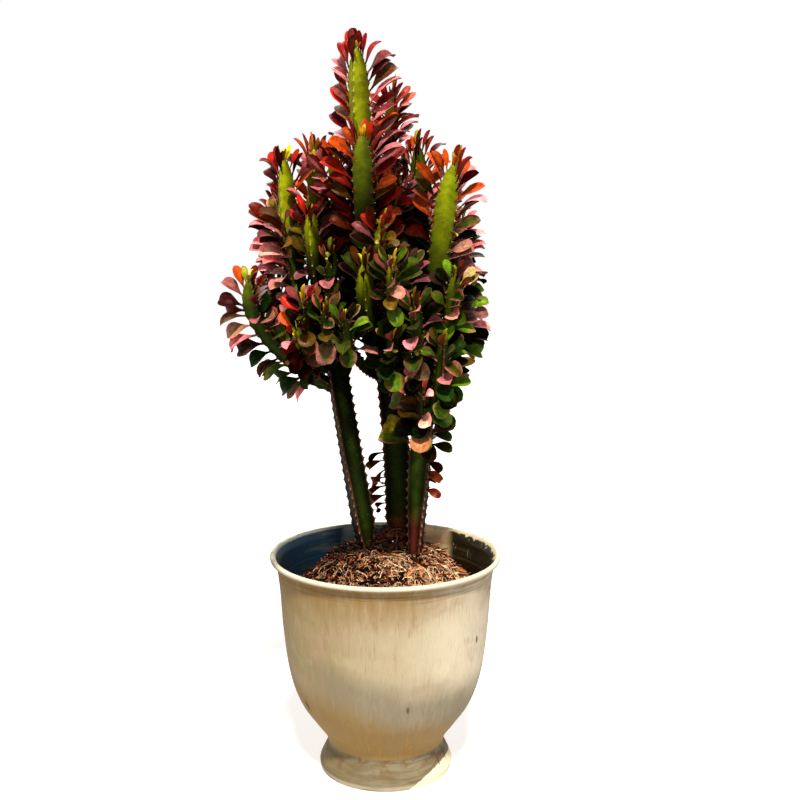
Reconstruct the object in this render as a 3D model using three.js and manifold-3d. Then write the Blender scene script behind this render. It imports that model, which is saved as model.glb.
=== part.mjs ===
// A red-leaved African milk tree, Euphorbia trigona 'Rubra', growing in a footed urn planter.
// Units are millimetres, +Z is up, and the origin is where the pot's axis meets the ground.
//
// Three rooted plants stand in one mound of bark potting mix. Each is a three-ridged stem with
// side branches that swing out and then climb beside it. Leaves sit one to an areole, in rows
// along the ridges, and each plant is one solid with its leaves.

import * as THREE from 'three';
import { mergeVertices } from 'three/addons/utils/BufferGeometryUtils.js';
import Module from 'manifold-3d';

const wasm = await Module();
wasm.setup();
const { Manifold, Mesh: SolidMesh } = wasm;

// ---------------------------------------------------------------- driving dimensions

const GAP = 0.35; // between touching pieces
const EAST = new THREE.Vector3(1, 0, 0);
const LIGHT = new THREE.Vector3(-0.35, -0.8, 0.5).normalize(); // where leaves turn their faces

const POT = {
  sides: 36,
  height: 291,
  footRadius: 87.3,
  neckRadius: 77,
  neckHeight: 35,
  bowlRadius: 140,
  lipRadius: 150,
  wall: 5,
  floorHeight: 52,
};

const SOIL = {
  gutterHeight: 236, // beside the pot wall
  moundHeight: 48, // above the gutter
  moundCentre: [1, 28],
  moundRadii: [105, 108],
  shoulder: [0.5, 1.15], // where the mound starts and stops falling, as shares of its radii
  lump: 1.6, // unevenness of the surface
  rings: [0, 32, 66, 98],
};

const STEM = {
  valley: 0.46, // the hollow between two ridges, as a share of the ridge radius
  toothPitch: 24, // between the teeth on old wood
  toothDepth: 1.7,
  ringPitch: 2.8, // between sections of a leafy stretch, times its radius
  neck: 0.5, // a stem is this thin at its foot
  neckLength: 34, // on the way up to its full radius
  taper: 2.7, // length of the narrowing tip, times its radius
  tip: 0.3, // the blunt end's share of the radius
  rootDepth: 42, // of the buried end
  rootShow: 5, // of the woody end above the mix
  rootSides: 12,
};

const LEAF = {
  pitch: 13, // between areoles on a grown stretch
  tipPitch: 6, // between areoles at a growing tip
  bareFrom: 26, // where a bare ridge loses its leaves, down from the tip
  bareLength: 5.5, // where they start again, down from the tip, times the stem's radius
  kept: 0.58, // the share of areoles that hold a leaf
  turnToLight: 0.8, // how far a leaf rolls towards the light
  mostTurn: 1.3, // of that roll, in radians
  oldPitch: 12, // between old leaves
  root: 6.5, // how deep a leaf's foot is sunk into its ridge
  offset: 1.7, // of the foot from the ridge's crest
  fullRadius: 8, // on thinner stems the root and the offset shrink
  keel: 1.35, // thickness along the midrib
  fold: 0.22, // rise of the edges over the midrib, as a share of the half width
  tries: 9, // poses that are tried for a leaf before its areole stays empty
  clearance: 0.45, // room kept round a leaf
};

// The crown's heart is shaded and holds no leaves: its middle and its radii.
const HEART = { centre: [-12, 58, 640], radii: [105, 92, 165] };

// Share of the length, and half width as a share of the widest.
const LEAF_OUTLINE = [
  [0.6, 1.0],
  [0.97, 0.52],
];

// The faces between a leaf's foot, point 0, its widest section, 1 to 3, and its end, 4 to 6.
const LEAF_FACES = [
  [0, 2, 1], [0, 3, 2], [0, 1, 3],
  [1, 2, 5], [1, 5, 4], [2, 3, 6], [2, 6, 5], [3, 1, 4], [3, 4, 6],
  [4, 5, 6],
];

// Each rooted stem follows a curve with four control points. A branch leaves its parent's axis
// at a height, swings out and climbs to its tip. radius is from the axis to a ridge, turn is the
// direction of the first ridge, in degrees from +X, and leavesFrom is the first leaf's height.
// A bare ridge loses its leaves for a stretch below its tip, old is a stretch of old, drooping
// leaves, with its ridge and its lowest and highest point, and a branch with lean rises aslant.
// bareLength is the bare stretch's end, down from the tip, times the radius. twist is how far the
// ridges are turned at the stem's foot, in degrees. neck is the foot's share of the radius, and
// neckLength is how far up the stem is thinner.
const PLANTS = [
  {
    name: 'plant_left',
    rootRadius: 12,
    trunk: {
      curve: [[-26, 38, 284], [-56, 38, 459], [-88, 50, 616], [-92, 72, 807]],
      radius: 19, tipRadius: 17, turn: -125, twist: 24, leavesFrom: 550,
    },
    branches: [
      {
        leaves: 526, tip: [-129, 40, 793], radius: 14, turn: 10, leavesFrom: 560,
        bare: 2, bareLength: 3.6,
      },
      { leaves: 600, tip: [-93, 5, 731], radius: 11, turn: -95, bare: 0, leavesFrom: 630 },
      { leaves: 496, tip: [-172, 20, 642], radius: 13.5, turn: 180, lean: 1, leavesFrom: 515 },
      { leaves: 522, tip: [-111, -26, 592], radius: 8, turn: 140, leavesFrom: 535 },
      { leaves: 551, tip: [-100, -38, 626], radius: 7.5, turn: -90, leavesFrom: 565 },
      { leaves: 577, tip: [-141, 118, 742], radius: 12, turn: 90, leavesFrom: 600 },
      { leaves: 522, tip: [-155, 125, 642], radius: 12, turn: 130, leavesFrom: 560 },
      { leaves: 505, tip: [-75, 128, 614], radius: 9, turn: 100, leavesFrom: 550 },
      { leaves: 545, tip: [-72, -50, 616], radius: 8, turn: -85, leavesFrom: 560 },
      { leaves: 590, tip: [-66, -4, 682], radius: 9, turn: -90, leavesFrom: 605 },
      { leaves: 590, tip: [-68, 122, 752], radius: 10, turn: 60, leavesFrom: 650 },
    ],
  },
  {
    name: 'plant_middle',
    rootRadius: 19,
    trunk: {
      curve: [[19, 85, 283], [22, 80, 479], [-35, 75, 679], [-37, 70, 934]],
      radius: 22, tipRadius: 16, turn: -100, twist: -60, bare: 0, leavesFrom: 565,
      old: { ridge: 0, from: 338, to: 412 },
    },
    branches: [
      { leaves: 613, tip: [-28, 10, 822], radius: 15, turn: -150, leavesFrom: 690 },
      { leaves: 500, tip: [-24, -45, 668], radius: 14.5, turn: -90, bare: 0, leavesFrom: 560 },
      { leaves: 692, tip: [9, 120, 882], radius: 10, turn: -85, leavesFrom: 730 },
      { leaves: 546, tip: [25, -20, 670], radius: 9, turn: -95, leavesFrom: 565 },
      { leaves: 613, tip: [-14, 165, 793], radius: 13, turn: 80, leavesFrom: 660 },
      { leaves: 546, tip: [-57, 178, 705], radius: 12, turn: 110, leavesFrom: 590 },
      { leaves: 520, tip: [20, 172, 637], radius: 10, turn: 60, leavesFrom: 560 },
      { leaves: 640, tip: [-64, 28, 804], radius: 10, turn: -90, leavesFrom: 660 },
      { leaves: 600, tip: [-4, -36, 717], radius: 9, turn: -80, leavesFrom: 620 },
      { leaves: 560, tip: [10, -66, 672], radius: 8, turn: -90, leavesFrom: 575 },
      { leaves: 510, tip: [-50, -64, 607], radius: 8, turn: -95, leavesFrom: 556 },
      { leaves: 650, tip: [16, 36, 769], radius: 10, turn: -90, leavesFrom: 670 },
      { leaves: 590, tip: [36, 130, 740], radius: 10, turn: 20, leavesFrom: 640 },
      { leaves: 490, tip: [9, -56, 584], radius: 8, turn: -95, leavesFrom: 530 },
    ],
  },
  {
    name: 'plant_right',
    rootRadius: 11,
    trunk: {
      curve: [[40, 4, 284], [50, 12, 451], [62, 15, 618], [86, -5, 786]],
      radius: 18.5, tipRadius: 17, turn: -55, twist: -18, neck: 0.65, neckLength: 110,
      leavesFrom: 425,
      old: { ridge: 0, from: 376, to: 424 },
    },
    branches: [
      { leaves: 427, tip: [50, -38, 520], radius: 8.5, turn: -90, leavesFrom: 440 },
      { leaves: 574, tip: [42, 75, 812], radius: 13.5, turn: -100, bare: 0, leavesFrom: 620 },
      { leaves: 506, tip: [99, 22, 625], radius: 8, turn: -10, lean: 1, leavesFrom: 550 },
      { leaves: 554, tip: [87, -46, 656], radius: 10, turn: -85, leavesFrom: 570 },
      { leaves: 497, tip: [38, -62, 622], radius: 9.5, turn: -95, leavesFrom: 512 },
      { leaves: 470, tip: [72, -72, 578], radius: 9, turn: -85, leavesFrom: 505 },
      { leaves: 561, tip: [73, 140, 739], radius: 12, turn: 60, leavesFrom: 610 },
      { leaves: 509, tip: [99, 110, 673], radius: 11, turn: 30, leavesFrom: 545 },
      { leaves: 600, tip: [94, 62, 717], radius: 9, turn: 0, leavesFrom: 650 },
    ],
  },
];

// ---------------------------------------------------------------- small helpers

const lerp = THREE.MathUtils.lerp;
const radians = THREE.MathUtils.degToRad;

function smoothstep(from, to, value) {
  return THREE.MathUtils.smoothstep(value, from, to);
}

// A repeatable draw from 0 to 1 for any four whole numbers.
function draw(a, b, c, d) {
  let h = 0x9e3779b9;
  for (const n of [a, b, c, d]) {
    h = Math.imul(h ^ (n + 0x7f4a7c15), 0x85ebca6b);
    h = Math.imul(h ^ (h >>> 13), 0xc2b2ae35);
    h ^= h >>> 16;
  }
  return (h >>> 0) / 4294967296;
}

function material(color, roughness, metalness = 0) {
  return new THREE.MeshStandardMaterial({ color, roughness, metalness });
}

// A closed geometry from points and triangles, turned to face outwards.
function closedGeometry(points, triangles) {
  const geometry = new THREE.BufferGeometry();
  geometry.setAttribute('position', new THREE.Float32BufferAttribute(points.flat(), 3));
  geometry.setIndex(signedVolume(points, triangles) < 0 ? flipped(triangles) : triangles.flat());
  return geometry;
}

function signedVolume(points, triangles) {
  let sum = 0;
  for (const [a, b, c] of triangles) {
    const [p, q, r] = [points[a], points[b], points[c]];
    sum += p[0] * (q[1] * r[2] - q[2] * r[1])
      - p[1] * (q[0] * r[2] - q[2] * r[0])
      + p[2] * (q[0] * r[1] - q[1] * r[0]);
  }
  return sum / 6;
}

function flipped(triangles) {
  return triangles.map(([a, b, c]) => [a, c, b]).flat();
}

function toSolid(geometry) {
  const bare = geometry.clone();
  bare.deleteAttribute('normal');
  bare.deleteAttribute('uv');
  const merged = mergeVertices(bare, 1e-4);
  return new Manifold(new SolidMesh({
    numProp: 3,
    vertProperties: new Float32Array(merged.attributes.position.array),
    triVerts: new Uint32Array(merged.index.array),
  }));
}

function toGeometry(solid) {
  const mesh = solid.getMesh();
  const geometry = new THREE.BufferGeometry();
  geometry.setAttribute('position', new THREE.Float32BufferAttribute(mesh.vertProperties, 3));
  geometry.setIndex(Array.from(mesh.triVerts));
  return geometry;
}

// Skins rings of equal size into a closed tube with a point or a flat cap at each end.
function skin(rings, firstPoint, lastPoint) {
  const size = rings[0].length;
  const points = [...rings.flat(), firstPoint, lastPoint];
  const first = rings.length * size;
  const triangles = [];
  for (let j = 0; j < size; j += 1) {
    const k = (j + 1) % size;
    for (let i = 0; i + 1 < rings.length; i += 1) {
      const [a, b, c, d] = [i * size + j, i * size + k, (i + 1) * size + k, (i + 1) * size + j];
      triangles.push([a, b, c], [a, c, d]);
    }
    const top = (rings.length - 1) * size;
    triangles.push([first, k, j], [top + j, top + k, first + 1]);
  }
  return closedGeometry(points, triangles);
}

// ---------------------------------------------------------------- pot

// The wall's outside, from the foot to the lip: radius, height.
function potOutside() {
  const { footRadius, neckRadius, neckHeight, bowlRadius, lipRadius, height } = POT;
  return [
    [footRadius - 1.3, 0],
    [footRadius, 4],
    [footRadius, 11],
    [neckRadius + 4.5, 24],
    [neckRadius, neckHeight],
    [neckRadius + 4, neckHeight + 14],
    [96, 70],
    [113, 96],
    [bowlRadius - 14, 134],
    [bowlRadius - 6.5, 190],
    [bowlRadius - 2, 250],
    [bowlRadius + 2, height - 14],
    [lipRadius, height - 4],
    [lipRadius - 1.5, height],
  ];
}

// The wall's inside, from the lip down to the floor.
function potInside() {
  const { bowlRadius, lipRadius, wall, height, floorHeight } = POT;
  return [
    [lipRadius - 6, height - 0.5],
    [bowlRadius - 2.5, height - 10],
    [bowlRadius - wall - 2, 250],
    [bowlRadius - wall - 6.5, 190],
    [bowlRadius - wall - 14.5, 134],
    [106, 96],
    [88, 70],
    [62, floorHeight],
  ];
}

function lathe(profile) {
  const points = profile.map(([radius, z]) => new THREE.Vector2(radius, z));
  const geometry = new THREE.LatheGeometry(points, POT.sides);
  geometry.rotateX(Math.PI / 2); // the lathe turns about Y
  return toGeometry(toSolid(geometry));
}

function makePot() {
  const axisFoot = [0, 0];
  const axisFloor = [0, POT.floorHeight];
  const geometry = lathe([axisFoot, ...potOutside(), ...potInside(), axisFloor]);
  return new THREE.Mesh(geometry, material(0xd8c39a, 0.62));
}

// ---------------------------------------------------------------- potting mix

function soilHeight(x, y) {
  const [cx, cy] = SOIL.moundCentre;
  const [rx, ry] = SOIL.moundRadii;
  const reach = Math.hypot((x - cx) / rx, (y - cy) / ry);
  const fall = smoothstep(SOIL.shoulder[0], SOIL.shoulder[1], reach);
  return SOIL.gutterHeight + SOIL.moundHeight * (1 - fall);
}

function makeSoil(holes) {
  const side = potInside().reverse();
  const below = side.filter(([, z]) => z < SOIL.gutterHeight);
  const wallRadius = potRadiusInside(SOIL.gutterHeight) - GAP;
  const profile = [
    [0, POT.floorHeight + GAP],
    ...below.map(([radius, z], i) => [radius - GAP, i === 0 ? z + GAP : z]),
    [wallRadius, SOIL.gutterHeight],
    ...SOIL.rings.toReversed().map((radius) => [radius, SOIL.gutterHeight + 1]),
  ];
  const geometry = lathe(profile);
  const position = geometry.attributes.position;
  for (let i = 0; i < position.count; i += 1) {
    if (position.getZ(i) < SOIL.gutterHeight + 0.5) continue;
    const [x, y] = [position.getX(i), position.getY(i)];
    const lump = SOIL.lump * (2 * draw(i, 71, 3, 9) - 1);
    position.setZ(i, soilHeight(x, y) + lump);
  }
  let solid = toSolid(geometry);
  for (const hole of holes) solid = solid.subtract(hole);
  return new THREE.Mesh(toGeometry(solid), material(0x5a3a28, 0.95));
}

function potRadiusInside(z) {
  const wall = potInside().reverse();
  const upper = wall.findIndex(([, height]) => height > z);
  const [[r0, z0], [r1, z1]] = [wall[upper - 1], wall[upper]];
  return lerp(r0, r1, (z - z0) / (z1 - z0));
}

// ---------------------------------------------------------------- stems

// A three-ridged stem: its axis, the direction of each ridge and its radius along the way.
class Stem {
  constructor(spec, index, controls) {
    const { neck, neckLength } = STEM;
    const { bareLength } = LEAF;
    const usual = { tipRadius: spec.radius, twist: 0, neck, neckLength, bareLength };
    Object.assign(this, usual, spec);
    this.index = index;
    this.axis = new THREE.CubicBezierCurve3(...controls);
    this.length = this.axis.getLength();
    this.isTrunk = index % 100 === 0;
    this.taperLength = STEM.taper * this.tipRadius;
  }

  frame(distance) {
    const share = THREE.MathUtils.clamp(distance / this.length, 0, 1);
    const along = this.axis.getTangentAt(share);
    const east = EAST.clone().addScaledVector(along, -along.dot(EAST)).normalize();
    east.applyAxisAngle(along, radians(this.twist * (1 - share)));
    const north = new THREE.Vector3().crossVectors(along, east);
    return { centre: this.axis.getPointAt(share), along, east, north };
  }

  ridge(frame, k) {
    const angle = radians(this.turn + 120 * k);
    return frame.east.clone().multiplyScalar(Math.cos(angle))
      .addScaledVector(frame.north, Math.sin(angle));
  }

  radiusAt(distance) {
    const neck = lerp(this.neck, 1, smoothstep(0, this.neckLength, distance));
    const left = this.length - distance;
    const tip = lerp(STEM.tip, 1, Math.sqrt(smoothstep(0, this.taperLength, left)));
    return lerp(this.radius, this.tipRadius, distance / this.length) * neck * tip;
  }

  // The distance along the axis at which the stem reaches a height.
  distanceAtHeight(z) {
    let distance = 0;
    while (distance < this.length && this.frame(distance).centre.z < z) distance += 1;
    return distance;
  }

  // A trunk is hollowed between its ridges, and a branch is flat there.
  section(distance, radius) {
    const frame = this.frame(distance);
    const ring = [];
    for (let k = 0; k < 3; k += 1) {
      for (const [turn, share] of this.isTrunk ? [[0, 1], [0.5, STEM.valley]] : [[0, 1]]) {
        const reach = this.ridge(frame, k + turn).multiplyScalar(radius * share);
        ring.push(reach.add(frame.centre).toArray());
      }
    }
    return ring;
  }

  // Old wood is cut into teeth, and a leafy stretch is plain between its leaves.
  stations() {
    const stops = [];
    const leafy = this.distanceAtHeight(this.leavesFrom);
    if (this.isTrunk) {
      for (let d = 0; d < leafy; d += STEM.toothPitch) {
        stops.push([d, this.radiusAt(d)]);
        const hollow = d + STEM.toothPitch / 2;
        stops.push([hollow, this.radiusAt(hollow) - STEM.toothDepth]);
      }
    } else {
      for (const d of [0, this.neckLength / 2]) stops.push([d, this.radiusAt(d)]);
    }
    const pitch = STEM.ringPitch * this.radius;
    const start = stops.at(-1)[0];
    const end = this.length - this.taperLength / 2;
    const count = Math.max(1, Math.round((end - start) / pitch));
    for (let i = 1; i <= count; i += 1) {
      const d = lerp(start, end, i / count);
      stops.push([d, this.radiusAt(d)]);
    }
    for (const left of [this.taperLength / 5, 2]) {
      stops.push([this.length - left, this.radiusAt(this.length - left)]);
    }
    return stops;
  }

  solid() {
    const rings = this.stations().map(([d, radius]) => this.section(d, radius));
    const [first, last] = [this.frame(0).centre, this.frame(this.length).centre];
    return toSolid(skin(rings, first.toArray(), last.toArray()));
  }
}

function trunkOf(plant, plantIndex) {
  const controls = plant.trunk.curve.map((point) => new THREE.Vector3(...point));
  return new Stem(plant.trunk, plantIndex * 100, controls);
}

// A branch leaves the trunk's axis, swings out towards its tip and then climbs.
function branchOf(spec, index, trunk) {
  const root = trunk.frame(trunk.distanceAtHeight(spec.leaves)).centre;
  const tip = new THREE.Vector3(...spec.tip);
  const onTheWay = (out, up) => new THREE.Vector3(
    lerp(root.x, tip.x, out),
    lerp(root.y, tip.y, out),
    lerp(root.z, tip.z, up),
  );
  const lean = spec.lean ?? 0;
  const swing = onTheWay(0.6 - 0.2 * lean, 0.18 + 0.02 * lean);
  const rise = onTheWay(0.97 + 0.08 * lean, 0.5 + 0.05 * lean);
  return new Stem(spec, index, [root, swing, rise, tip]);
}

function stemsOf(plant, plantIndex) {
  const trunk = trunkOf(plant, plantIndex);
  const branches = plant.branches.map((spec, i) => branchOf(spec, plantIndex * 100 + i + 1, trunk));
  return [trunk, ...branches];
}

// ---------------------------------------------------------------- leaves

// The areoles of one ridge, from the tip down, as distances along the stem.
function areoles(stem, k) {
  const stops = [];
  const lowest = Math.max(stem.distanceAtHeight(stem.leavesFrom), 16);
  let pitch = LEAF.tipPitch;
  let distance = stem.length - 5 - (k * pitch) / 3;
  const bareLength = stem.bare === k ? stem.bareLength * stem.radius : 0;
  while (distance > lowest) {
    const pastBare = stem.length - distance - LEAF.bareFrom;
    if (pastBare <= 0 || pastBare >= bareLength) stops.push(distance);
    distance -= pitch;
    pitch = Math.min(LEAF.pitch, pitch + 1.9);
  }
  return stops;
}

function oldAreoles(stem, k) {
  const stops = [];
  if (stem.old?.ridge !== k) return stops;
  const end = stem.distanceAtHeight(stem.old.to);
  for (let d = stem.distanceAtHeight(stem.old.from); d < end; d += LEAF.oldPitch) stops.push(d);
  return stops;
}

// How a leaf stands, by where it grows. Young leaves at a tip stand up, high ones reach up and
// out, low ones are broad and level, and old ones on bare wood hang.
function leafHabit(stem, distance, height, isOld) {
  if (isOld) return { pitch: 4, length: 31, breadth: 0.42, curl: 105 };
  const fromTip = stem.length - distance;
  const grown = smoothstep(0, 36, fromTip);
  const low = 1 - smoothstep(560, 760, height);
  const stout = stem.radius / 16;
  return {
    pitch: lerp(lerp(50, 80, stout), lerp(50, 22, low), grown),
    length: lerp(29, lerp(46, 40, low), grown) * lerp(0.75, 1, stout),
    breadth: lerp(lerp(0.3, 0.42, low), lerp(0.4, 0.67, low), grown),
    curl: lerp(4, lerp(30, 34, low), grown),
  };
}

// One pose of a leaf. Each try draws its own pose, and later tries stray further.
function leafPose(stem, k, order, attempt, distance, isOld) {
  const frame = stem.frame(distance);
  const outward = stem.ridge(frame, k);
  const reach = stem.radiusAt(distance);
  const edge = outward.clone().multiplyScalar(reach - 1.5).add(frame.centre);
  const habit = leafHabit(stem, distance, edge.z, isOld);
  const key = k * 100 + order + (isOld ? 50 : 0);
  const random = (channel) => 2 * draw(stem.index, key, attempt, channel) - 1;
  const stray = 1 + 0.22 * attempt;
  const pitch = radians(habit.pitch + 9 * stray * random(1));
  const yaw = radians(15 * stray * random(2));
  const side = new THREE.Vector3().crossVectors(frame.along, outward);
  const thin = Math.min(1, reach / LEAF.fullRadius);
  const offset = LEAF.offset * thin;
  edge.addScaledVector(side, random(8) < 0 ? -offset : offset);
  const heading = outward.clone().applyAxisAngle(frame.along, yaw);
  side.applyAxisAngle(frame.along, yaw);
  const ahead = heading.clone().multiplyScalar(Math.cos(pitch))
    .addScaledVector(frame.along, Math.sin(pitch));
  const roll = rollToLight(ahead, side) + radians(24 * random(3));
  side.applyAxisAngle(ahead, roll);
  const face = new THREE.Vector3().crossVectors(ahead, side);
  return {
    foot: edge.clone().addScaledVector(outward, -LEAF.root * thin),
    edge, ahead, side, face,
    length: habit.length * (1 + 0.13 * random(4)) * (1 - 0.035 * attempt),
    breadth: habit.breadth * (1 + 0.1 * random(5)),
    curl: radians(habit.curl * (1 + 0.4 * random(6))),
  };
}

function rollToLight(ahead, side) {
  const face = new THREE.Vector3().crossVectors(ahead, side);
  const across = new THREE.Vector3().crossVectors(ahead, face);
  const full = Math.atan2(across.dot(LIGHT), face.dot(LIGHT));
  return LEAF.turnToLight * THREE.MathUtils.clamp(full, -LEAF.mostTurn, LEAF.mostTurn);
}

// The midrib is an arc that bends away from the leaf's face.
function midrib(pose, share) {
  const angle = pose.curl * share;
  const radius = pose.length / pose.curl;
  const centre = pose.edge.clone()
    .addScaledVector(pose.ahead, radius * Math.sin(angle))
    .addScaledVector(pose.face, -radius * (1 - Math.cos(angle)));
  const face = pose.face.clone().multiplyScalar(Math.cos(angle))
    .addScaledVector(pose.ahead, Math.sin(angle));
  return { centre, face };
}

function inHeart(pose) {
  const [cx, cy, cz] = HEART.centre;
  const [rx, ry, rz] = HEART.radii;
  const end = midrib(pose, 1).centre;
  return Math.hypot((end.x - cx) / rx, (end.y - cy) / ry, (end.z - cz) / rz) < 1;
}

// A thin arched blade: a foot in the stem, a keeled section where it is widest and a blunt end.
function leafSolid(pose, swell = 0) {
  const halfWidth = (pose.length * pose.breadth) / 2;
  const sections = LEAF_OUTLINE.map(([share, widthShare]) => {
    const { centre, face } = midrib(pose, share + (share > 0.9 ? swell / pose.length : 0));
    const half = halfWidth * widthShare + swell;
    const raised = centre.clone().addScaledVector(face, LEAF.fold * half + swell);
    const keel = centre.clone().addScaledVector(face, -LEAF.keel * lerp(1, 0.8, share) - swell);
    const left = raised.clone().addScaledVector(pose.side, half);
    const right = raised.clone().addScaledVector(pose.side, -half);
    return [left.toArray(), right.toArray(), keel.toArray()];
  });
  const points = [pose.foot.toArray(), ...sections.flat()];
  return toSolid(closedGeometry(points, LEAF_FACES));
}

// ---------------------------------------------------------------- plants

// Everything that a new leaf keeps clear of: the leaves before it and every stem but its own.
class Obstacles {
  constructor() {
    this.items = [];
  }

  add(solid, stemIndex, isStem = false) {
    this.items.push({ solid, stemIndex, isStem, box: boxOf(solid) });
  }

  meets(solid, ownIndex) {
    const box = boxOf(solid);
    return this.items.some((item) => {
      if (item.isStem && item.stemIndex === ownIndex) return false;
      return box.intersectsBox(item.box) && solid.intersect(item.solid).volume() > 0;
    });
  }
}

function boxOf(solid) {
  const { min, max } = solid.boundingBox();
  return new THREE.Box3(new THREE.Vector3(...min), new THREE.Vector3(...max));
}

// The stem's buried end, and the plain hole that it stands in.
function rootPlug(plant, swell) {
  const [x, y, z] = plant.trunk.curve[0];
  const { rootDepth, rootShow, rootSides } = STEM;
  const plug = new THREE.CylinderGeometry(
    plant.rootRadius + swell,
    plant.rootRadius * 0.8 + swell,
    rootDepth + rootShow + 2 * swell,
    rootSides,
  );
  plug.rotateX(Math.PI / 2);
  plug.translate(x, y, z + (rootShow - rootDepth) / 2);
  return toSolid(plug);
}

function growLeaves(stem, obstacles) {
  const leaves = [];
  for (let k = 0; k < 3; k += 1) {
    const young = areoles(stem, k).map((distance, order) => ({ distance, order, isOld: false }));
    const old = oldAreoles(stem, k).map((distance, order) => ({ distance, order, isOld: true }));
    for (const { distance, order, isOld } of [...young, ...old]) {
      if (draw(stem.index, k, order, 7) > LEAF.kept) continue;
      for (let attempt = 0; attempt < LEAF.tries; attempt += 1) {
        const pose = leafPose(stem, k, order, attempt, distance, isOld);
        if (inHeart(pose)) break;
        const room = leafSolid(pose, LEAF.clearance);
        if (obstacles.meets(room, stem.index)) continue;
        obstacles.add(room, stem.index);
        leaves.push(leafSolid(pose));
        break;
      }
    }
  }
  return leaves;
}

function makePlants() {
  const stands = PLANTS.map((plant, i) => ({ plant, stems: stemsOf(plant, i) }));
  const obstacles = new Obstacles();
  for (const { stems } of stands) {
    for (const stem of stems) {
      stem.body = stem.solid();
      obstacles.add(stem.body, stem.index, true);
    }
  }
  return stands.map(({ plant, stems }) => {
    const pieces = [rootPlug(plant, 0)];
    for (const stem of stems) pieces.push(stem.body, ...growLeaves(stem, obstacles));
    const solid = Manifold.union(pieces);
    const mesh = new THREE.Mesh(toGeometry(solid), material(0x5d2a25, 0.5));
    mesh.name = plant.name;
    return mesh;
  });
}

// ---------------------------------------------------------------- the part

const pot = makePot();
pot.name = 'pot';

const soil = makeSoil(PLANTS.map((plant) => rootPlug(plant, GAP)));
soil.name = 'soil';

const part = new THREE.Group();
part.add(pot, soil, ...makePlants());

export default part;
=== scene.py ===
"""The looks of a red-leaved African milk tree, Euphorbia trigona 'Rubra', in a painted footed urn.

The plants' stems and leaves follow the same rule as the solids, in millimetres, and every leaf
that the solids hold is found again among the frame's points. Finer leaves, spines, bark chips
and brushed paint are added to them here.
"""

import math
from types import SimpleNamespace

import bpy
import numpy as np
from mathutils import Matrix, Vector
from mathutils.bvhtree import BVHTree
from mathutils.kdtree import KDTree


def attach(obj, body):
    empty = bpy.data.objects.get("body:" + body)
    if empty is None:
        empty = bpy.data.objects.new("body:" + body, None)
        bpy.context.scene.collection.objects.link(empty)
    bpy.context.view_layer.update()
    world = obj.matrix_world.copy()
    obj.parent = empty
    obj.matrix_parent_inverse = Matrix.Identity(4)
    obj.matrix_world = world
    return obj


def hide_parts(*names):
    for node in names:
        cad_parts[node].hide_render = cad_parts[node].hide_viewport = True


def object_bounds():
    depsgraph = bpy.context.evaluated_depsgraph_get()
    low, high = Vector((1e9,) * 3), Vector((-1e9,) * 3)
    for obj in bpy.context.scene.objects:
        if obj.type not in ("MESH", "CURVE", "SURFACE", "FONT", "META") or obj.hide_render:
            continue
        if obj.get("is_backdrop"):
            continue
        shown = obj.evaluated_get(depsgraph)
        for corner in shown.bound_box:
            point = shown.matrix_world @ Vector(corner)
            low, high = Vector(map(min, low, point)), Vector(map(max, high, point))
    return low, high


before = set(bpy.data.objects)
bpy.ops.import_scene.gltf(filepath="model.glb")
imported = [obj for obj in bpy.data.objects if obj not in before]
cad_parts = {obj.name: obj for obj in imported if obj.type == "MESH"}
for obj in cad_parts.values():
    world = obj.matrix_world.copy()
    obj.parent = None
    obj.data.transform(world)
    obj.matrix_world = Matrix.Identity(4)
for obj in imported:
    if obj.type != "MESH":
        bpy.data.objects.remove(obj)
CAD_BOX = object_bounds()
MM = 0.001
BOX_LOW, BOX_HIGH = (np.array(corner) / MM for corner in CAD_BOX)

# ---- driving dimensions, in mm

# The light that leaves turn to, the east and up, and the side toward which stems are painted
# lighter as if sunlit, their other side painted darker as shade.
LIGHT = np.array([-0.35, -0.8, 0.5]) / math.sqrt(0.35**2 + 0.8**2 + 0.5**2)
EAST = np.array([1.0, 0.0, 0.0])
UP = np.array([0.0, 0.0, 1.0])
SUNNY = np.array([-0.92, -0.39, 0])

# Shares of the radius in the valleys and at the tip, the taper in radii, the pitch of the
# areoles on bare wood, the lowest of them, and the points that measure a curve.
STEM = SimpleNamespace(valley=0.46, tip=0.3, taper=2.7, bare_pitch=12, lowest=10, points=201)

# What a stem is like where its entry doesn't say. Lean lets a branch swing out later and
# further, bare names a ridge with a bare stretch of bare_length radii, and old the ridge and
# the heights of old leaves. Tone darkens or lightens the foot, fresh and lit say how lime a
# tip is, and blush how red its leaves are.
USUAL = {
    "twist": 0, "neck": 0.5, "neck_length": 34, "lean": 0,
    "bare": None, "bare_length": 5.5, "old": (None, 0, 0),
    "tone": 1, "fresh": 1, "lit": 0, "blush": 0,
}

LEAF = SimpleNamespace(
    # The areoles: their pitch at the tip and below, and where the row and a bare stretch begin.
    tip_pitch=6, pitch=13, wider=1.9, old_pitch=12, below_tip=5, lowest=16, bare_from=26,
    # Where it leaves the ridge, the root in it, its way off the crest, and the radius below
    # which both shrink.
    sunk=1.5, root=6.5, offset=1.7, full_radius=8,
    # The blade's keel and fold, and the share and most of its turn to the light.
    keel=1.35, fold=0.22, turn_to_light=0.8, most_turn=1.3,
    # The share that the solids hold, how near its corners lie, and the tries in them and here.
    kept=0.58, found_within=0.06, cad_tries=9, tries=12,
)
# Pitch, length, breadth and curl of grown leaves high and low in the crown, and of old ones.
HIGH_LEAF = np.array([50, 46, 0.4, 30])
LOW_LEAF = np.array([22, 40, 0.67, 34])
OLD_LEAF = np.array([4, 31, 0.42, 105])
# How far a leaf strays from its stem's habit: degrees, then shares of its own measures.
STRAY = SimpleNamespace(pitch=9, yaw=15, roll=24, length=0.13, breadth=0.1, curl=0.4)
EACH_TRY = SimpleNamespace(stray=0.22, shorter=0.035)

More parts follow.
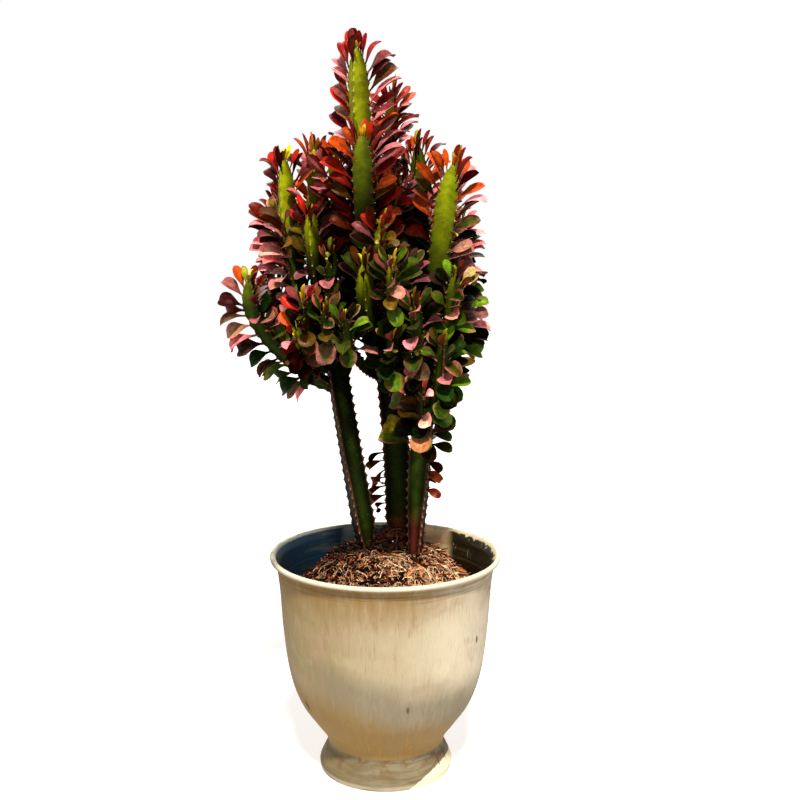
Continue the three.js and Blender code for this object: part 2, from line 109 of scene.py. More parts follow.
# A plain leaf: the two sections after its foot, as shares of its length and width, and its faces.
LEAF_OUTLINE = ((0.6, 1.0), (0.97, 0.52))
LEAF_FACES = (
    (0, 2, 1), (0, 3, 2), (0, 1, 3),
    (1, 2, 5), (1, 5, 4), (2, 3, 6), (2, 6, 5), (3, 1, 4), (3, 4, 6),
    (4, 5, 6),
)


def trunk(curve, radius, tip_radius, turn, leaves_from, **more):
    """A rooted stem: its curve, radii, turn of the first ridge and height of its lowest leaf."""
    return SimpleNamespace(curve=curve, radius=radius, tip_radius=tip_radius, turn=turn,
                           leaves_from=leaves_from, **{**USUAL, **more})


def branch(leaves, tip, radius, turn, leaves_from, **more):
    """A stem that leaves the trunk at a height and ends at its tip."""
    return SimpleNamespace(leaves=leaves, tip=tip, radius=radius, tip_radius=radius, turn=turn,
                           leaves_from=leaves_from, **{**USUAL, **more})


PLANTS = {
    "plant_left": [
        trunk([(-26, 38, 284), (-56, 38, 459), (-88, 50, 616), (-92, 72, 807)],
              19, 17, -125, 550, twist=24, tone=0.65),
        branch(526, (-129, 40, 793), 14, 10, 560, bare=2, bare_length=3.6),
        branch(600, (-93, 5, 731), 11, -95, 630, bare=0, fresh=2.2),
        branch(496, (-172, 20, 642), 13.5, 180, 515, lean=1, blush=0.45),
        branch(522, (-111, -26, 592), 8, 140, 535, blush=0.9, lit=1),
        branch(551, (-100, -38, 626), 7.5, -90, 565, blush=0.5),
        branch(577, (-141, 118, 742), 12, 90, 600),
        branch(522, (-155, 125, 642), 12, 130, 560),
        branch(505, (-75, 128, 614), 9, 100, 550),
        branch(545, (-72, -50, 616), 8, -85, 560),
        branch(590, (-66, -4, 682), 9, -90, 605),
        branch(590, (-68, 122, 752), 10, 60, 650),
    ],
    "plant_middle": [
        trunk([(19, 85, 283), (22, 80, 479), (-35, 75, 679), (-37, 70, 934)],
              22, 16, -100, 565, twist=-60, bare=0, old=(0, 338, 412), fresh=0.8,
              tone=0.6),
        branch(613, (-28, 10, 822), 15, -150, 690, fresh=0.2),
        branch(500, (-24, -45, 668), 14.5, -90, 560, bare=0, fresh=2.6),
        branch(692, (9, 120, 882), 10, -85, 730),
        branch(546, (25, -20, 670), 9, -95, 565),
        branch(613, (-14, 165, 793), 13, 80, 660),
        branch(546, (-57, 178, 705), 12, 110, 590),
        branch(520, (20, 172, 637), 10, 60, 560),
        branch(640, (-64, 28, 804), 10, -90, 660),
        branch(600, (-4, -36, 717), 9, -80, 620),
        branch(560, (10, -66, 672), 8, -90, 575),
        branch(510, (-50, -64, 607), 8, -95, 556),
        branch(650, (16, 36, 769), 10, -90, 670),
        branch(590, (36, 130, 740), 10, 20, 640),
        branch(490, (9, -56, 584), 8, -95, 530),
    ],
    "plant_right": [
        trunk([(40, 4, 284), (50, 12, 451), (62, 15, 618), (86, -5, 786)],
              18.5, 17, -55, 425, twist=-18, neck=0.65, neck_length=110, old=(0, 376, 424),
              fresh=0.5, tone=1.5),
        branch(427, (50, -38, 520), 8.5, -90, 440),
        branch(574, (42, 75, 812), 13.5, -100, 620, bare=0, bare_length=3.4, fresh=0.3),
        branch(506, (99, 22, 625), 8, -10, 550, lean=1),
        branch(554, (87, -46, 656), 10, -85, 570),
        branch(497, (38, -62, 622), 9.5, -95, 512),
        branch(470, (72, -72, 578), 9, -85, 505),
        branch(561, (73, 140, 739), 12, 60, 610),
        branch(509, (99, 110, 673), 11, 30, 545),
        branch(600, (94, 62, 717), 9, 0, 650),
    ],
}

# The small leaves that close a tip, the rosettes on some ridges, and their heights.
BUDS = SimpleNamespace(count=6, pitch=(66, 86), length=(11, 20), curl=(-14, 22), breadth=0.34)
SHOOTS = SimpleNamespace(share=0.09, heights=(560, 740), count=5, rise=(0.5, 1.4),
                         length=(9, 15), curl=(5, 35), breadth=0.42)
# Leaves between the areoles of thin stems: how thin, how far below the tip, and what share.
BETWEEN = SimpleNamespace(thin=14, from_tip=22, share=0.5)
# The shaded heart of the crown, where leaves and stems are painted darker as shade.
HEART = SimpleNamespace(centre=(-12, 58, 640), radii=(112, 100, 190))

# The last number of a draw says what it is for. A rosette's leaves count on from theirs.
CHANNEL = SimpleNamespace(
    pitch=1, yaw=2, roll=3, length=4, breadth=5, curl=6, kept=7, offset=8,
    hang=31, fold=32, wave=33, red=41, tint=42, back=43, sheen=44, orange=45, margin=46,
    shade=47, margin_share=48, skin=61, shoot=71, between=72,
    shoot_rise=80, shoot_length=90, shoot_curl=95,
)
# Where the keys of a stem's leaves of each kind begin, and the step from ridge to ridge.
KEY = SimpleNamespace(between=24, old=50, ridge=100, shoot=800, bud=900)


# ---- small helpers

def lerp(a, b, share):
    return a + (b - a) * share


def smoothstep(start, end, value):
    share = np.clip((value - start) / (end - start), 0, 1)
    return share * share * (3 - 2 * share)


def polar(radius, angle):
    return radius * np.cos(angle), radius * np.sin(angle)


def unit(vectors):
    return vectors / np.linalg.norm(vectors, axis=-1, keepdims=True)


def turned(vector, axis, angle):
    """The vector turned about a unit axis."""
    cos, sin = math.cos(angle), math.sin(angle)
    return vector * cos + np.cross(axis, vector) * sin + axis * np.dot(axis, vector) * (1 - cos)


def draw(*numbers):
    """A repeatable draw from 0 to 1 for any whole numbers."""
    mask = 0xFFFFFFFF
    h = 0x9E3779B9
    for n in numbers:
        h = ((h ^ ((n + 0x7F4A7C15) & mask)) * 0x85EBCA6B) & mask
        h = ((h ^ (h >> 13)) * 0xC2B2AE35) & mask
        h ^= h >> 16
    return h / 4294967296


def linear(red, green, blue):
    """A display colour of 0 to 255 as linear light."""
    shares = np.array([red, green, blue]) / 255
    return np.where(shares <= 0.04045, shares / 12.92, ((shares + 0.055) / 1.055) ** 2.4)


def palette(**tones):
    """Named display colours as linear light."""
    return SimpleNamespace(**{name: linear(*tone) for name, tone in tones.items()})


# ---- meshes

class Build:
    """Points, faces and point attributes that grow into one mesh."""

    def __init__(self):
        self.points, self.faces, self.values = [], [], {}
        self.count = 0

    def add(self, points, faces, **values):
        """points in mm, faces as rows of point numbers, values as one row a point."""
        points = np.asarray(points, float).reshape(-1, 3)
        self.points.append(points)
        for rows in faces if isinstance(faces, list) else [faces]:
            self.faces.append(np.asarray(rows, int) + self.count)
        for name, value in values.items():
            value = np.broadcast_to(np.asarray(value, float), (len(points), 3))
            self.values.setdefault(name, []).append(value)
        self.count += len(points)

    def piece(self, name, paint, sharp=60):
        mesh = bpy.data.meshes.new(name)
        points = np.concatenate(self.points) * MM
        loops = np.concatenate([rows.ravel() for rows in self.faces])
        sizes = np.concatenate([np.full(len(rows), rows.shape[1]) for rows in self.faces])
        mesh.vertices.add(len(points))
        mesh.vertices.foreach_set("co", points.ravel())
        mesh.loops.add(len(loops))
        mesh.loops.foreach_set("vertex_index", loops)
        mesh.polygons.add(len(sizes))
        mesh.polygons.foreach_set("loop_start", np.concatenate([[0], np.cumsum(sizes)[:-1]]))
        mesh.update(calc_edges=True)
        mesh.validate()
        for key, rows in self.values.items():
            rows = np.concatenate(rows)
            colour = np.column_stack([rows, np.ones(len(rows))])
            attribute = mesh.attributes.new(key, "FLOAT_COLOR", "POINT")
            attribute.data.foreach_set("color", colour.ravel())
        mesh.shade_smooth()
        mesh.set_sharp_from_angle(angle=math.radians(sharp))
        mesh.materials.append(paint)
        piece = bpy.data.objects.new(name, mesh)
        bpy.context.scene.collection.objects.link(piece)
        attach(piece, "root")
        return piece


def tube_faces(rings, size):
    """Quads between rings of equal size that follow one another."""
    i, j = np.meshgrid(np.arange(rings - 1), np.arange(size), indexing="ij")
    k = (j + 1) % size
    quads = np.stack([i * size + j, i * size + k, (i + 1) * size + k, (i + 1) * size + j], -1)
    return quads.reshape(-1, 4)


def cap_faces(rings, size):
    """Fans from the first ring to one last point and from the last ring to another."""
    j = np.arange(size)
    k = (j + 1) % size
    first, top = rings * size, (rings - 1) * size
    start = np.stack([np.full(size, first), k, j], -1)
    end = np.stack([top + j, top + k, np.full(size, first + 1)], -1)
    return np.concatenate([start, end])


def with_ends(rings, ends):
    """The rows of all rings, then one row for each closed end."""
    return np.concatenate([rings.reshape(-1, 3), ends])


def many_tubes(count, rings, size):
    """The faces of many closed tubes with their two end points, one after another."""
    first = (np.arange(count) * (rings * size + 2))[:, None, None]
    return [(tube_faces(rings, size) + first).reshape(-1, 4),
            (cap_faces(rings, size) + first).reshape(-1, 3)]


# ---- stems

STEMS_A_PLANT = 100


def bezier(controls, t):
    t = np.asarray(t, float)[..., None]
    a, b, c, d = controls
    return (1 - t) ** 3 * a + 3 * (1 - t) ** 2 * t * b + 3 * (1 - t) * t * t * c + t**3 * d


class Stem:
    """A three-ridged stem: its axis, the direction of each ridge and its radius."""

    def __init__(self, spec, index, controls):
        self.spec, self.index = spec, index
        self.controls = np.array(controls, float)
        self.shares = np.linspace(0, 1, STEM.points)
        steps = np.diff(bezier(self.controls, self.shares), axis=0)
        self.lengths = np.concatenate([[0], np.cumsum(np.linalg.norm(steps, axis=1))])
        self.length = self.lengths[-1]
        self.is_trunk = index % STEMS_A_PLANT == 0
        self.taper_length = STEM.taper * spec.tip_radius
        self.heights = self.frames(np.arange(int(self.length) + 2))[0][:, 2]

    def frames(self, distance):
        """Centre, along, east and north at distances along the axis."""
        distance = np.clip(np.asarray(distance, float), 0, self.length)
        t = np.interp(distance, self.lengths, self.shares)
        centre = bezier(self.controls, t)
        before, after = np.maximum(t - 1e-4, 0), np.minimum(t + 1e-4, 1)
        along = unit(bezier(self.controls, after) - bezier(self.controls, before))
        east = unit(EAST - along * along[..., :1])
        north = np.cross(along, east)
        spin = np.radians(self.spec.twist * (1 - distance / self.length))[..., None]
        twisted = east * np.cos(spin) + north * np.sin(spin)
        return centre, along, twisted, np.cross(along, twisted)

    def ridge(self, frames, k):
        """The way out to a ridge, or to a valley where k lies halfway between two."""
        angle = math.radians(self.spec.turn + 120 * k)
        return frames[2] * math.cos(angle) + frames[3] * math.sin(angle)

    def radius_at(self, distance):
        """The radius to the ridges, with a narrow neck and a pointed tip."""
        spec, left = self.spec, self.length - distance
        neck = lerp(spec.neck, 1, smoothstep(0, spec.neck_length, distance))
        tip = lerp(STEM.tip, 1, np.sqrt(smoothstep(0, self.taper_length, left)))
        return lerp(spec.radius, spec.tip_radius, distance / self.length) * neck * tip

    def distance_at_height(self, z):
        """The first whole millimetre of the axis at which it is that high."""
        reached = np.flatnonzero(self.heights >= z)
        whole = reached[0] if len(reached) else math.ceil(self.length)
        return float(min(whole, math.ceil(self.length)))


def branch_of(spec, index, trunk_stem):
    """A branch leaves the trunk's axis, swings out towards its tip and then climbs."""
    root = trunk_stem.frames(trunk_stem.distance_at_height(spec.leaves))[0]
    tip, lean = np.array(spec.tip, float), spec.lean

    def on_the_way(out, up):
        return root + (tip - root) * np.array([out, out, up])

    swing = on_the_way(0.6 - 0.2 * lean, 0.18 + 0.02 * lean)
    rise = on_the_way(0.97 + 0.08 * lean, 0.5 + 0.05 * lean)
    return Stem(spec, index, [root, swing, rise, tip])


def stems_of(specs, plant_index):
    """A plant's trunk and branches, each with a number of its own."""
    first = plant_index * STEMS_A_PLANT
    main = Stem(specs[0], first, specs[0].curve)
    return [main] + [branch_of(spec, first + i, main) for i, spec in enumerate(specs[1:], 1)]


# ---- where the leaves grow

def down_the_ridge(stem, k, leafy_from, lowest):
    """The areoles of one ridge, from the tip down, closest at the tip."""
    pitch = LEAF.tip_pitch
    distance = stem.length - LEAF.below_tip - k * pitch / 3
    while distance > lowest:
        yield distance
        distance -= pitch if distance > leafy_from else STEM.bare_pitch
        pitch = min(LEAF.pitch, pitch + LEAF.wider)


def areoles(stem, k):
    """The areoles of one ridge that may hold a leaf, as distances along the stem."""
    lowest = max(stem.distance_at_height(stem.spec.leaves_from), LEAF.lowest)
    bare_to = LEAF.bare_from
    if stem.spec.bare == k:
        bare_to += stem.spec.bare_length * stem.spec.radius
    stops = down_the_ridge(stem, k, lowest, lowest)
    return [stop for stop in stops
            if not LEAF.bare_from < stem.length - stop < bare_to]


def old_areoles(stem, k):
    """The areoles on bare wood that still hold an old leaf."""
    ridge, *heights = stem.spec.old
    if ridge != k:
        return []
    return list(np.arange(*map(stem.distance_at_height, heights), LEAF.old_pitch))


def leaf_habit(stem, distance, height, is_old):
    """How a leaf stands, by where it grows: pitch, length, breadth and curl."""
    if is_old:
        return OLD_LEAF
    grown = smoothstep(0, 36, stem.length - distance)
    low = 1 - smoothstep(560, 760, height)
    stout = stem.spec.radius / 16
    young = np.array([lerp(50, 80, stout), 29, lerp(0.3, 0.42, low), 4])
    habit = lerp(young, lerp(HIGH_LEAF, LOW_LEAF, low), grown)
    return habit * (1, lerp(0.75, 1, stout), 1, 1)


def roll_to_light(ahead, side):
    """How far a leaf turns about its own length to face the light."""
    face = np.cross(ahead, side)
    across = np.cross(ahead, face)
    full = math.atan2(across @ LIGHT, face @ LIGHT)
    return LEAF.turn_to_light * min(max(full, -LEAF.most_turn), LEAF.most_turn)


def leaf(foot, edge, ahead, side, length, breadth, curl, **more):
    """A leaf: where it roots and leaves its stem, how it is turned, its form and its kind."""
    kind = {"is_old": False, "is_shoot": False, "blush": 0, **more}
    return SimpleNamespace(foot=foot, edge=edge, ahead=ahead, side=side,
                           face=np.cross(ahead, side), length=length, breadth=breadth,
                           curl=curl, **kind)


def leaf_pose(stem, k, order, attempt, distance, is_old):
    """One try at a leaf on an areole. Each new try strays further and is shorter."""
    frames = stem.frames(distance)
    along, outward = frames[1], stem.ridge(frames, k)
    reach = stem.radius_at(distance)
    edge = frames[0] + outward * (reach - LEAF.sunk)
    pitch, length, breadth, curl = leaf_habit(stem, distance, edge[2], is_old)
    key = k * KEY.ridge + order + KEY.old * is_old

    def random(channel):
        return 2 * draw(stem.index, key, attempt, getattr(CHANNEL, channel)) - 1

    def strayed(name, value):
        """A measure that is off by up to its own share."""
        return value * (1 + getattr(STRAY, name) * random(name))

    stray = 1 + EACH_TRY.stray * attempt
    pitch = math.radians(pitch + STRAY.pitch * stray * random("pitch"))
    yaw = math.radians(STRAY.yaw * stray * random("yaw"))
    side = np.cross(along, outward)
    thin = min(1, reach / LEAF.full_radius)
    edge = edge + side * LEAF.offset * thin * (-1 if random("offset") < 0 else 1)
    heading = turned(outward, along, yaw)
    side = turned(side, along, yaw)
    ahead = heading * math.cos(pitch) + along * math.sin(pitch)
    roll = roll_to_light(ahead, side) + math.radians(STRAY.roll * random("roll"))
    return leaf(
        edge - outward * LEAF.root * thin, edge, ahead, turned(side, ahead, roll),
        strayed("length", length) * (1 - EACH_TRY.shorter * attempt),
        strayed("breadth", breadth), math.radians(strayed("curl", curl)),
        from_tip=stem.length - distance, is_old=is_old, blush=stem.spec.blush,
        seed=(stem.index, key),
    )


def midrib(pose, share):
    """The midrib is an arc that bends away from the leaf's face."""
    angle = pose.curl * share
    radius = pose.length / pose.curl
    ahead, face = pose.ahead, pose.face
    centre = pose.edge + ahead * radius * math.sin(angle) - face * radius * (1 - math.cos(angle))
    return centre, face * math.cos(angle) + ahead * math.sin(angle)


def plain_leaf(pose, swell=0.0):
    """The seven points of a plain leaf: its foot, its widest section and its blunt end."""
    half_width = pose.length * pose.breadth / 2
    points = [pose.foot]
    for share, width_share in LEAF_OUTLINE:
        reach = share + (swell / pose.length if share > 0.9 else 0)
        centre, face = midrib(pose, reach)
        half = half_width * width_share + swell
        raised = centre + face * (LEAF.fold * half + swell)
        keel = centre - face * (LEAF.keel * lerp(1, 0.8, share) + swell)
        points += [raised + pose.side * half, raised - pose.side * half, keel]
    return np.array(points)


# ---- room between the leaves

class Crowd:
    """The solids that a new leaf keeps clear of, with their boxes."""

    def __init__(self, room=6000):
        self.trees, self.owners = [], np.full(room, -1)
        self.lows, self.highs = np.zeros((room, 3)), np.zeros((room, 3))

    def add(self, points, faces, owner=-1):
        number = len(self.trees)
        self.trees.append(BVHTree.FromPolygons(points.tolist(), faces))
        self.lows[number], self.highs[number] = points.min(0), points.max(0)
        self.owners[number] = owner

    def meets(self, points, owner):
        """Whether a leaf cuts another solid than its own stem."""
        count = len(self.trees)
        near = np.all(self.lows[:count] < points.max(0), axis=1)
        near &= np.all(self.highs[:count] > points.min(0), axis=1)
        near &= self.owners[:count] != owner
        if not near.any():
            return False
        tree = BVHTree.FromPolygons(points.tolist(), LEAF_FACES)
        return any(tree.overlap(self.trees[n]) for n in np.flatnonzero(near))


def stem_shell(stem):
    """A plain six-sided tube that stands for a stem among the leaves."""
    stops = np.linspace(0, stem.length, max(4, int(stem.length / 9)))
    frames = stem.frames(stops)
    radius = stem.radius_at(stops)[:, None]
    rings = []
    for k in range(3):
        rings.append(frames[0] + stem.ridge(frames, k) * radius)
        rings.append(frames[0] + stem.ridge(frames, k + 0.5) * radius * STEM.valley)
    points = np.stack(rings, 1).reshape(-1, 3)
    return points, tube_faces(len(stops), 6).tolist()


def cad_points(name):
    """The corners of one solid, for finding the nearest."""
    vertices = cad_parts[name].data.vertices
    tree = KDTree(len(vertices))
    for i, vertex in enumerate(vertices):
        tree.insert(vertex.co, i)
    tree.balance()
    return tree


def cad_pose(stem, site, tree):
    """The pose in which the solids hold a leaf, or None where they hold none."""
    if draw(stem.index, *site[:2], CHANNEL.kept) > LEAF.kept:
        return None
    for attempt in range(LEAF.cad_tries):
        pose = leaf_pose(stem, *site[:2], attempt, *site[2:])
        gaps = sorted(tree.find(Vector(point * MM))[2] for point in plain_leaf(pose)[4:])
        if gaps[1] < LEAF.found_within * MM:
            return pose
    return None


def leaf_sites(stem):
    """Every areole with a leaf: ridge, order, distance and whether the leaf is old."""
    sites = []
    for k in range(3):
        sites += [(k, i, distance, False) for i, distance in enumerate(areoles(stem, k))]
        sites += [(k, i, distance, True) for i, distance in enumerate(old_areoles(stem, k))]
    return sites


def between_sites(stem):
    """Thin stems carry their areoles closer, so there is one more between some of them."""
    sites = []
    if stem.spec.radius > BETWEEN.thin:
        return sites
    for k in range(3):
        stops = areoles(stem, k)
        for i, (upper, lower) in enumerate(zip(stops, stops[1:])):
            if upper - lower > 1.2 * LEAF.pitch or stem.length - upper < BETWEEN.from_tip:
                continue
            if draw(stem.index, k, i, CHANNEL.between) < BETWEEN.share:
                sites.append((k, i + KEY.between, (upper + lower) / 2, False))
    return sites


def inside_box(points):
    """Whether all points lie half a millimetre or more inside the solids' box."""
    return bool(np.all(points > BOX_LOW + 0.5) and np.all(points < BOX_HIGH - 0.5))


def place_leaves(stands):
    """First the leaves that the solids hold, then one on each areole that has room."""
    crowd, poses, left_over = Crowd(), {name: [] for name in stands}, []
    for name, stems in stands.items():
        tree = cad_points(name)
        for stem in stems:
            crowd.add(*stem_shell(stem), stem.index)
            for site in leaf_sites(stem):
                pose = cad_pose(stem, site, tree)
                if pose is None:
                    left_over.append((name, stem, site))
                    continue
                poses[name].append(pose)
                crowd.add(plain_leaf(pose), LEAF_FACES)
            left_over += [(name, stem, site) for site in between_sites(stem)]
    for name, stem, site in left_over:
        pose = free_pose(stem, site, crowd)
        if pose is not None:
            poses[name].append(pose)
            crowd.add(plain_leaf(pose), LEAF_FACES)
    for name, stems in stands.items():
        for stem in stems:
            poses[name] += bud_poses(stem) + shoot_poses(stem, crowd)
    return poses


def free_pose(stem, site, crowd):
    """The first try that keeps clear of all other leaves and stems, or None."""
    for attempt in range(LEAF.tries):
        pose = leaf_pose(stem, *site[:2], attempt, *site[2:])
        points = plain_leaf(pose, 0.2)
        if inside_box(points) and not crowd.meets(points, stem.index):
            return pose
    return None


def bud_poses(stem):
    """The small upright leaves that close a tip."""
    centre, along, east, north = stem.frames(stem.length)
    poses = []
    for i in range(BUDS.count):
        turn = math.radians(stem.spec.turn + 60 * i + 25 * draw(stem.index, i, 1))
        outward = east * math.cos(turn) + north * math.sin(turn)
        pitch = math.radians(lerp(*BUDS.pitch, draw(stem.index, i, 2)))
        edge = centre + outward * 1.6 - along * 3
        length = lerp(*BUDS.length, draw(stem.index, i, 3)) * min(1, stem.spec.radius / 14)
        curl = math.radians(lerp(*BUDS.curl, draw(stem.index, i, 4)))
        pose = leaf(edge - along * 3, edge, outward * math.cos(pitch) + along * math.sin(pitch),
                    np.cross(along, outward), length, BUDS.breadth, curl,
                    from_tip=0.0, blush=stem.spec.blush, seed=(stem.index, KEY.bud + i))
        if inside_box(plain_leaf(pose)):
            poses.append(pose)
    return poses


def shoot_poses(stem, crowd):
    """Here and there an areole that faces the front breaks into a small rosette."""
    poses = []
    for k, order, distance, is_old in leaf_sites(stem):
        if is_old or draw(stem.index, k, order, CHANNEL.shoot) > SHOOTS.share:
            continue
        frames = stem.frames(distance)
        out = stem.ridge(frames, k)
        edge = frames[0] + out * (stem.radius_at(distance) + 2)
        lowest, highest = SHOOTS.heights
        if out[1] <= -0.3 and lowest < edge[2] < highest:
            rosette = rosette_poses(stem, k, order, edge, out, frames[1])
            poses += [pose for pose in rosette if not crowd.meets(plain_leaf(pose), stem.index)]
    return poses


def rosette_poses(stem, k, order, edge, out, along):
    """The small leaves of one shoot, round an axis that rises from its ridge."""
    axis = unit(out + along * 0.9)
    east, north = unit(np.cross(axis, along)), unit(np.cross(axis, np.cross(axis, along)))
    for i in range(SHOOTS.count):
        def pick(limits, channel):
            return lerp(*limits, draw(stem.index, k, order, channel + i))

        turn = math.radians(360 / SHOOTS.count * i + pick((0, 40), 0))
        outward = east * math.cos(turn) + north * math.sin(turn)
        ahead = unit(outward + axis * pick(SHOOTS.rise, CHANNEL.shoot_rise))
        curl = math.radians(pick(SHOOTS.curl, CHANNEL.shoot_curl))
        yield leaf(edge - out * 4, edge, ahead, unit(np.cross(axis, outward)),
                   pick(SHOOTS.length, CHANNEL.shoot_length), SHOOTS.breadth, curl,
                   is_shoot=True, from_tip=30.0, seed=(stem.index, KEY.shoot + 10 * order + i))


# ---- fine leaves

# The sections of a blade: share of its length and share of its widest half.
LEAF_SECTIONS = np.array([
    (-0.05, 0.15), (0, 0.17), (0.09, 0.134), (0.2, 0.21), (0.32, 0.46), (0.44, 0.74),
    (0.56, 0.94), (0.67, 1.0), (0.78, 0.95), (0.87, 0.78), (0.94, 0.52), (0.985, 0.24), (1, 0.05),
])
LEAF_SHARES, LEAF_WIDTHS = LEAF_SECTIONS.T
# Each section runs over the face from one margin to the other and back underneath.
LEAF_COLUMNS = np.array([-1, -0.55, 0, 0.55, 1, 0.55, 0, -0.55])
UNDER_COLUMNS = np.array([0, 0, 0, 0, 0, 1, 1, 1])
MIDRIB_STEPS = 40
# Leaves this near the tip are coloured as buds.
BUD_REACH = 7
# The share of a blade from which it hangs, and by how many degrees.
HANG = SimpleNamespace(start=0.4, freely=(-10, 62), old=50)


def openness(points):
    """0 in the shaded heart of the crown and 1 outside it, for painting shade there."""
    offset = (np.asarray(points) - HEART.centre) / HEART.radii
    return smoothstep(0.6, 1.25, np.linalg.norm(offset, axis=-1))


def leaf_draws(poses, channel, low, high):
    """One repeatable draw a leaf, between two values."""
    return np.array([lerp(low, high, draw(*pose.seed, channel)) for pose in poses])


def rows_of(poses, name):
    """One value of all leaves, as rows."""
    return np.array([getattr(pose, name) for pose in poses])


def leaf_curves(poses):
    """Centre and face of every leaf along its midrib, with a tip that may hang."""
    ahead, face = rows_of(poses, "ahead")[:, None], rows_of(poses, "face")[:, None]
    hang = leaf_draws(poses, CHANNEL.hang, *HANG.freely) * (rows_of(poses, "from_tip") > 14)
    hang = np.radians(hang + HANG.old * rows_of(poses, "is_old"))
    fine = np.linspace(0, 1, MIDRIB_STEPS + 1)
    droop = (np.maximum(fine - HANG.start, 0) / (1 - HANG.start)) ** 2
    angle = rows_of(poses, "curl")[:, None] * fine + hang[:, None] * droop
    picks = np.clip(np.round(LEAF_SHARES * MIDRIB_STEPS).astype(int), 0, MIDRIB_STEPS)
    scale = rows_of(poses, "length")[:, None] / MIDRIB_STEPS

    def reach(steps):
        """How far the midrib has come at each section, from its single steps."""
        sums = np.cumsum(steps, 1) - steps / 2 - steps[:, :1] / 2
        return (sums[:, picks] * scale)[..., None]

    centre = rows_of(poses, "edge")[:, None] + ahead * reach(np.cos(angle))
    centre = centre - face * reach(np.sin(angle))
    centre[:, 0] = lerp(rows_of(poses, "edge"), rows_of(poses, "foot"), 0.6)
    turn = angle[:, picks][..., None]
    return centre, face * np.cos(turn) + ahead * np.sin(turn)


def leaf_shade(poses, middles):
    """Painted light and shade: leaves in the heart are painted dark, the rest darker or lighter at
    random and lower ones more so, low ones brighter as if sunlit, old ones darker, and pink ones
    painted bright as if they caught the light.
    """
    height = middles[:, 2]
    least = lerp(0.12, 0.5, smoothstep(600, 760, height))
    # Painted light: low leaves are made brighter as if sunlit.
    sunlit = lerp(2.3, 1, smoothstep(480, 570, height))
    shade = lerp(least, 1.35, leaf_draws(poses, CHANNEL.shade, 0, 1)) ** 2
    shade = shade * np.where(rows_of(poses, "is_old"), 0.7, sunlit)
    sky_sheen = np.array([painted_sheen(pose) for pose in poses])
    shade = lerp(shade, np.maximum(shade, 1.15), sky_sheen)
    return lerp(0.05, 1, openness(middles)) * shade


def fine_leaves(build, poses):
    """Folded, spoon-shaped blades with a narrow stalk, for all leaves of a plant at once."""
    centre, face = leaf_curves(poses)
    half = rows_of(poses, "length") * rows_of(poses, "breadth") / 2
    width = (half[:, None] * LEAF_WIDTHS)[:, :, None]
    fold = leaf_draws(poses, CHANNEL.fold, 0.12, 0.62)[:, None, None]
    wave = leaf_draws(poses, CHANNEL.wave, -1, 1)[:, None, None]
    share, column, under = LEAF_SHARES[None, :, None], LEAF_COLUMNS, UNDER_COLUMNS
    rise = fold * np.abs(column) ** 1.25 + 0.1 * wave * column * np.sin(7 * share)
    thick = 0.9 * (1 - 0.45 * np.abs(column)) + 0.8 * (column == 0) * (1 - share)
    lift = (width * rise - under * thick)[..., None]
    spread = (width * column * np.sqrt(np.maximum(1 - fold**2, 0.4)))[..., None]
    side = rows_of(poses, "side")[:, None, None]
    points = centre[:, :, None] + side * spread + face[:, :, None] * lift
    count, rings, size = points.shape[:3]
    ends = centre[:, [0, -1]] - face[:, [0, -1]] * 0.2
    points = np.concatenate([points.reshape(count, -1, 3), ends], 1)
    points = np.clip(points, BOX_LOW + 0.3, BOX_HIGH - 0.3)
    blade = np.zeros((count, rings * size + 2, 3))
    grid = np.broadcast_arrays(share[0], np.abs(column), under)
    blade[:, :-2] = np.stack(grid, -1).reshape(-1, 3)
    blade[:, -1] = (1, 1, 0)
    # Painted light and shade, multiplied into every colour of each leaf.
    shade = leaf_shade(poses, centre[:, rings // 2])[:, None]
    colours = {}
    for name, rule in (("tint", leaf_tint), ("back", leaf_back), ("edge", leaf_edge)):
        rows = np.array([rule(pose) for pose in poses]) * shade
        colours[name] = np.repeat(rows, rings * size + 2, 0)
    build.add(points, many_tubes(count, rings, size), blade=blade.reshape(-1, 3), **colours)


LEAF_COLOURS = palette(
    deep=(22, 44, 6), green=(92, 128, 16), olive=(84, 76, 10), brown=(116, 48, 12),
    wine=(84, 10, 14), crimson=(160, 26, 10), orange=(214, 78, 16), bud=(196, 196, 28),
    shoot=(128, 164, 24), rose=(186, 74, 72), pink=(236, 130, 136), cream=(222, 156, 122),
)


def blended(names, share):
    """A colour on the way through several named colours."""
    place = np.clip(share, 0, 1) * (len(names) - 1)
    low = min(int(place), len(names) - 2)
    lower, upper = (getattr(LEAF_COLOURS, name) for name in names[low:low + 2])
    return lerp(lower, upper, place - low)


def redness(pose):
    """Low leaves are green and high or young ones are red, each a little off the rule."""
    high = smoothstep(625, 770, pose.edge[2])
    young = (1 - smoothstep(8, 60, pose.from_tip)) * smoothstep(600, 720, pose.edge[2])
    young += pose.blush * (1 - smoothstep(20, 90, pose.from_tip)) / 0.3
    return 0.08 + 0.76 * high + 0.3 * young + 0.72 * (draw(*pose.seed, CHANNEL.red) - 0.5)


def painted_sheen(pose):
    """Painted sheen: some of the leaves that lie level and face up are painted pink, as a
    reflection of the bright sky.
    """
    level = smoothstep(0.25, 0.7, pose.face[2])
    often = lerp(0.66, 0.34, smoothstep(570, 650, pose.edge[2]))
    return level * smoothstep(often, often + 0.25, draw(*pose.seed, CHANNEL.sheen))


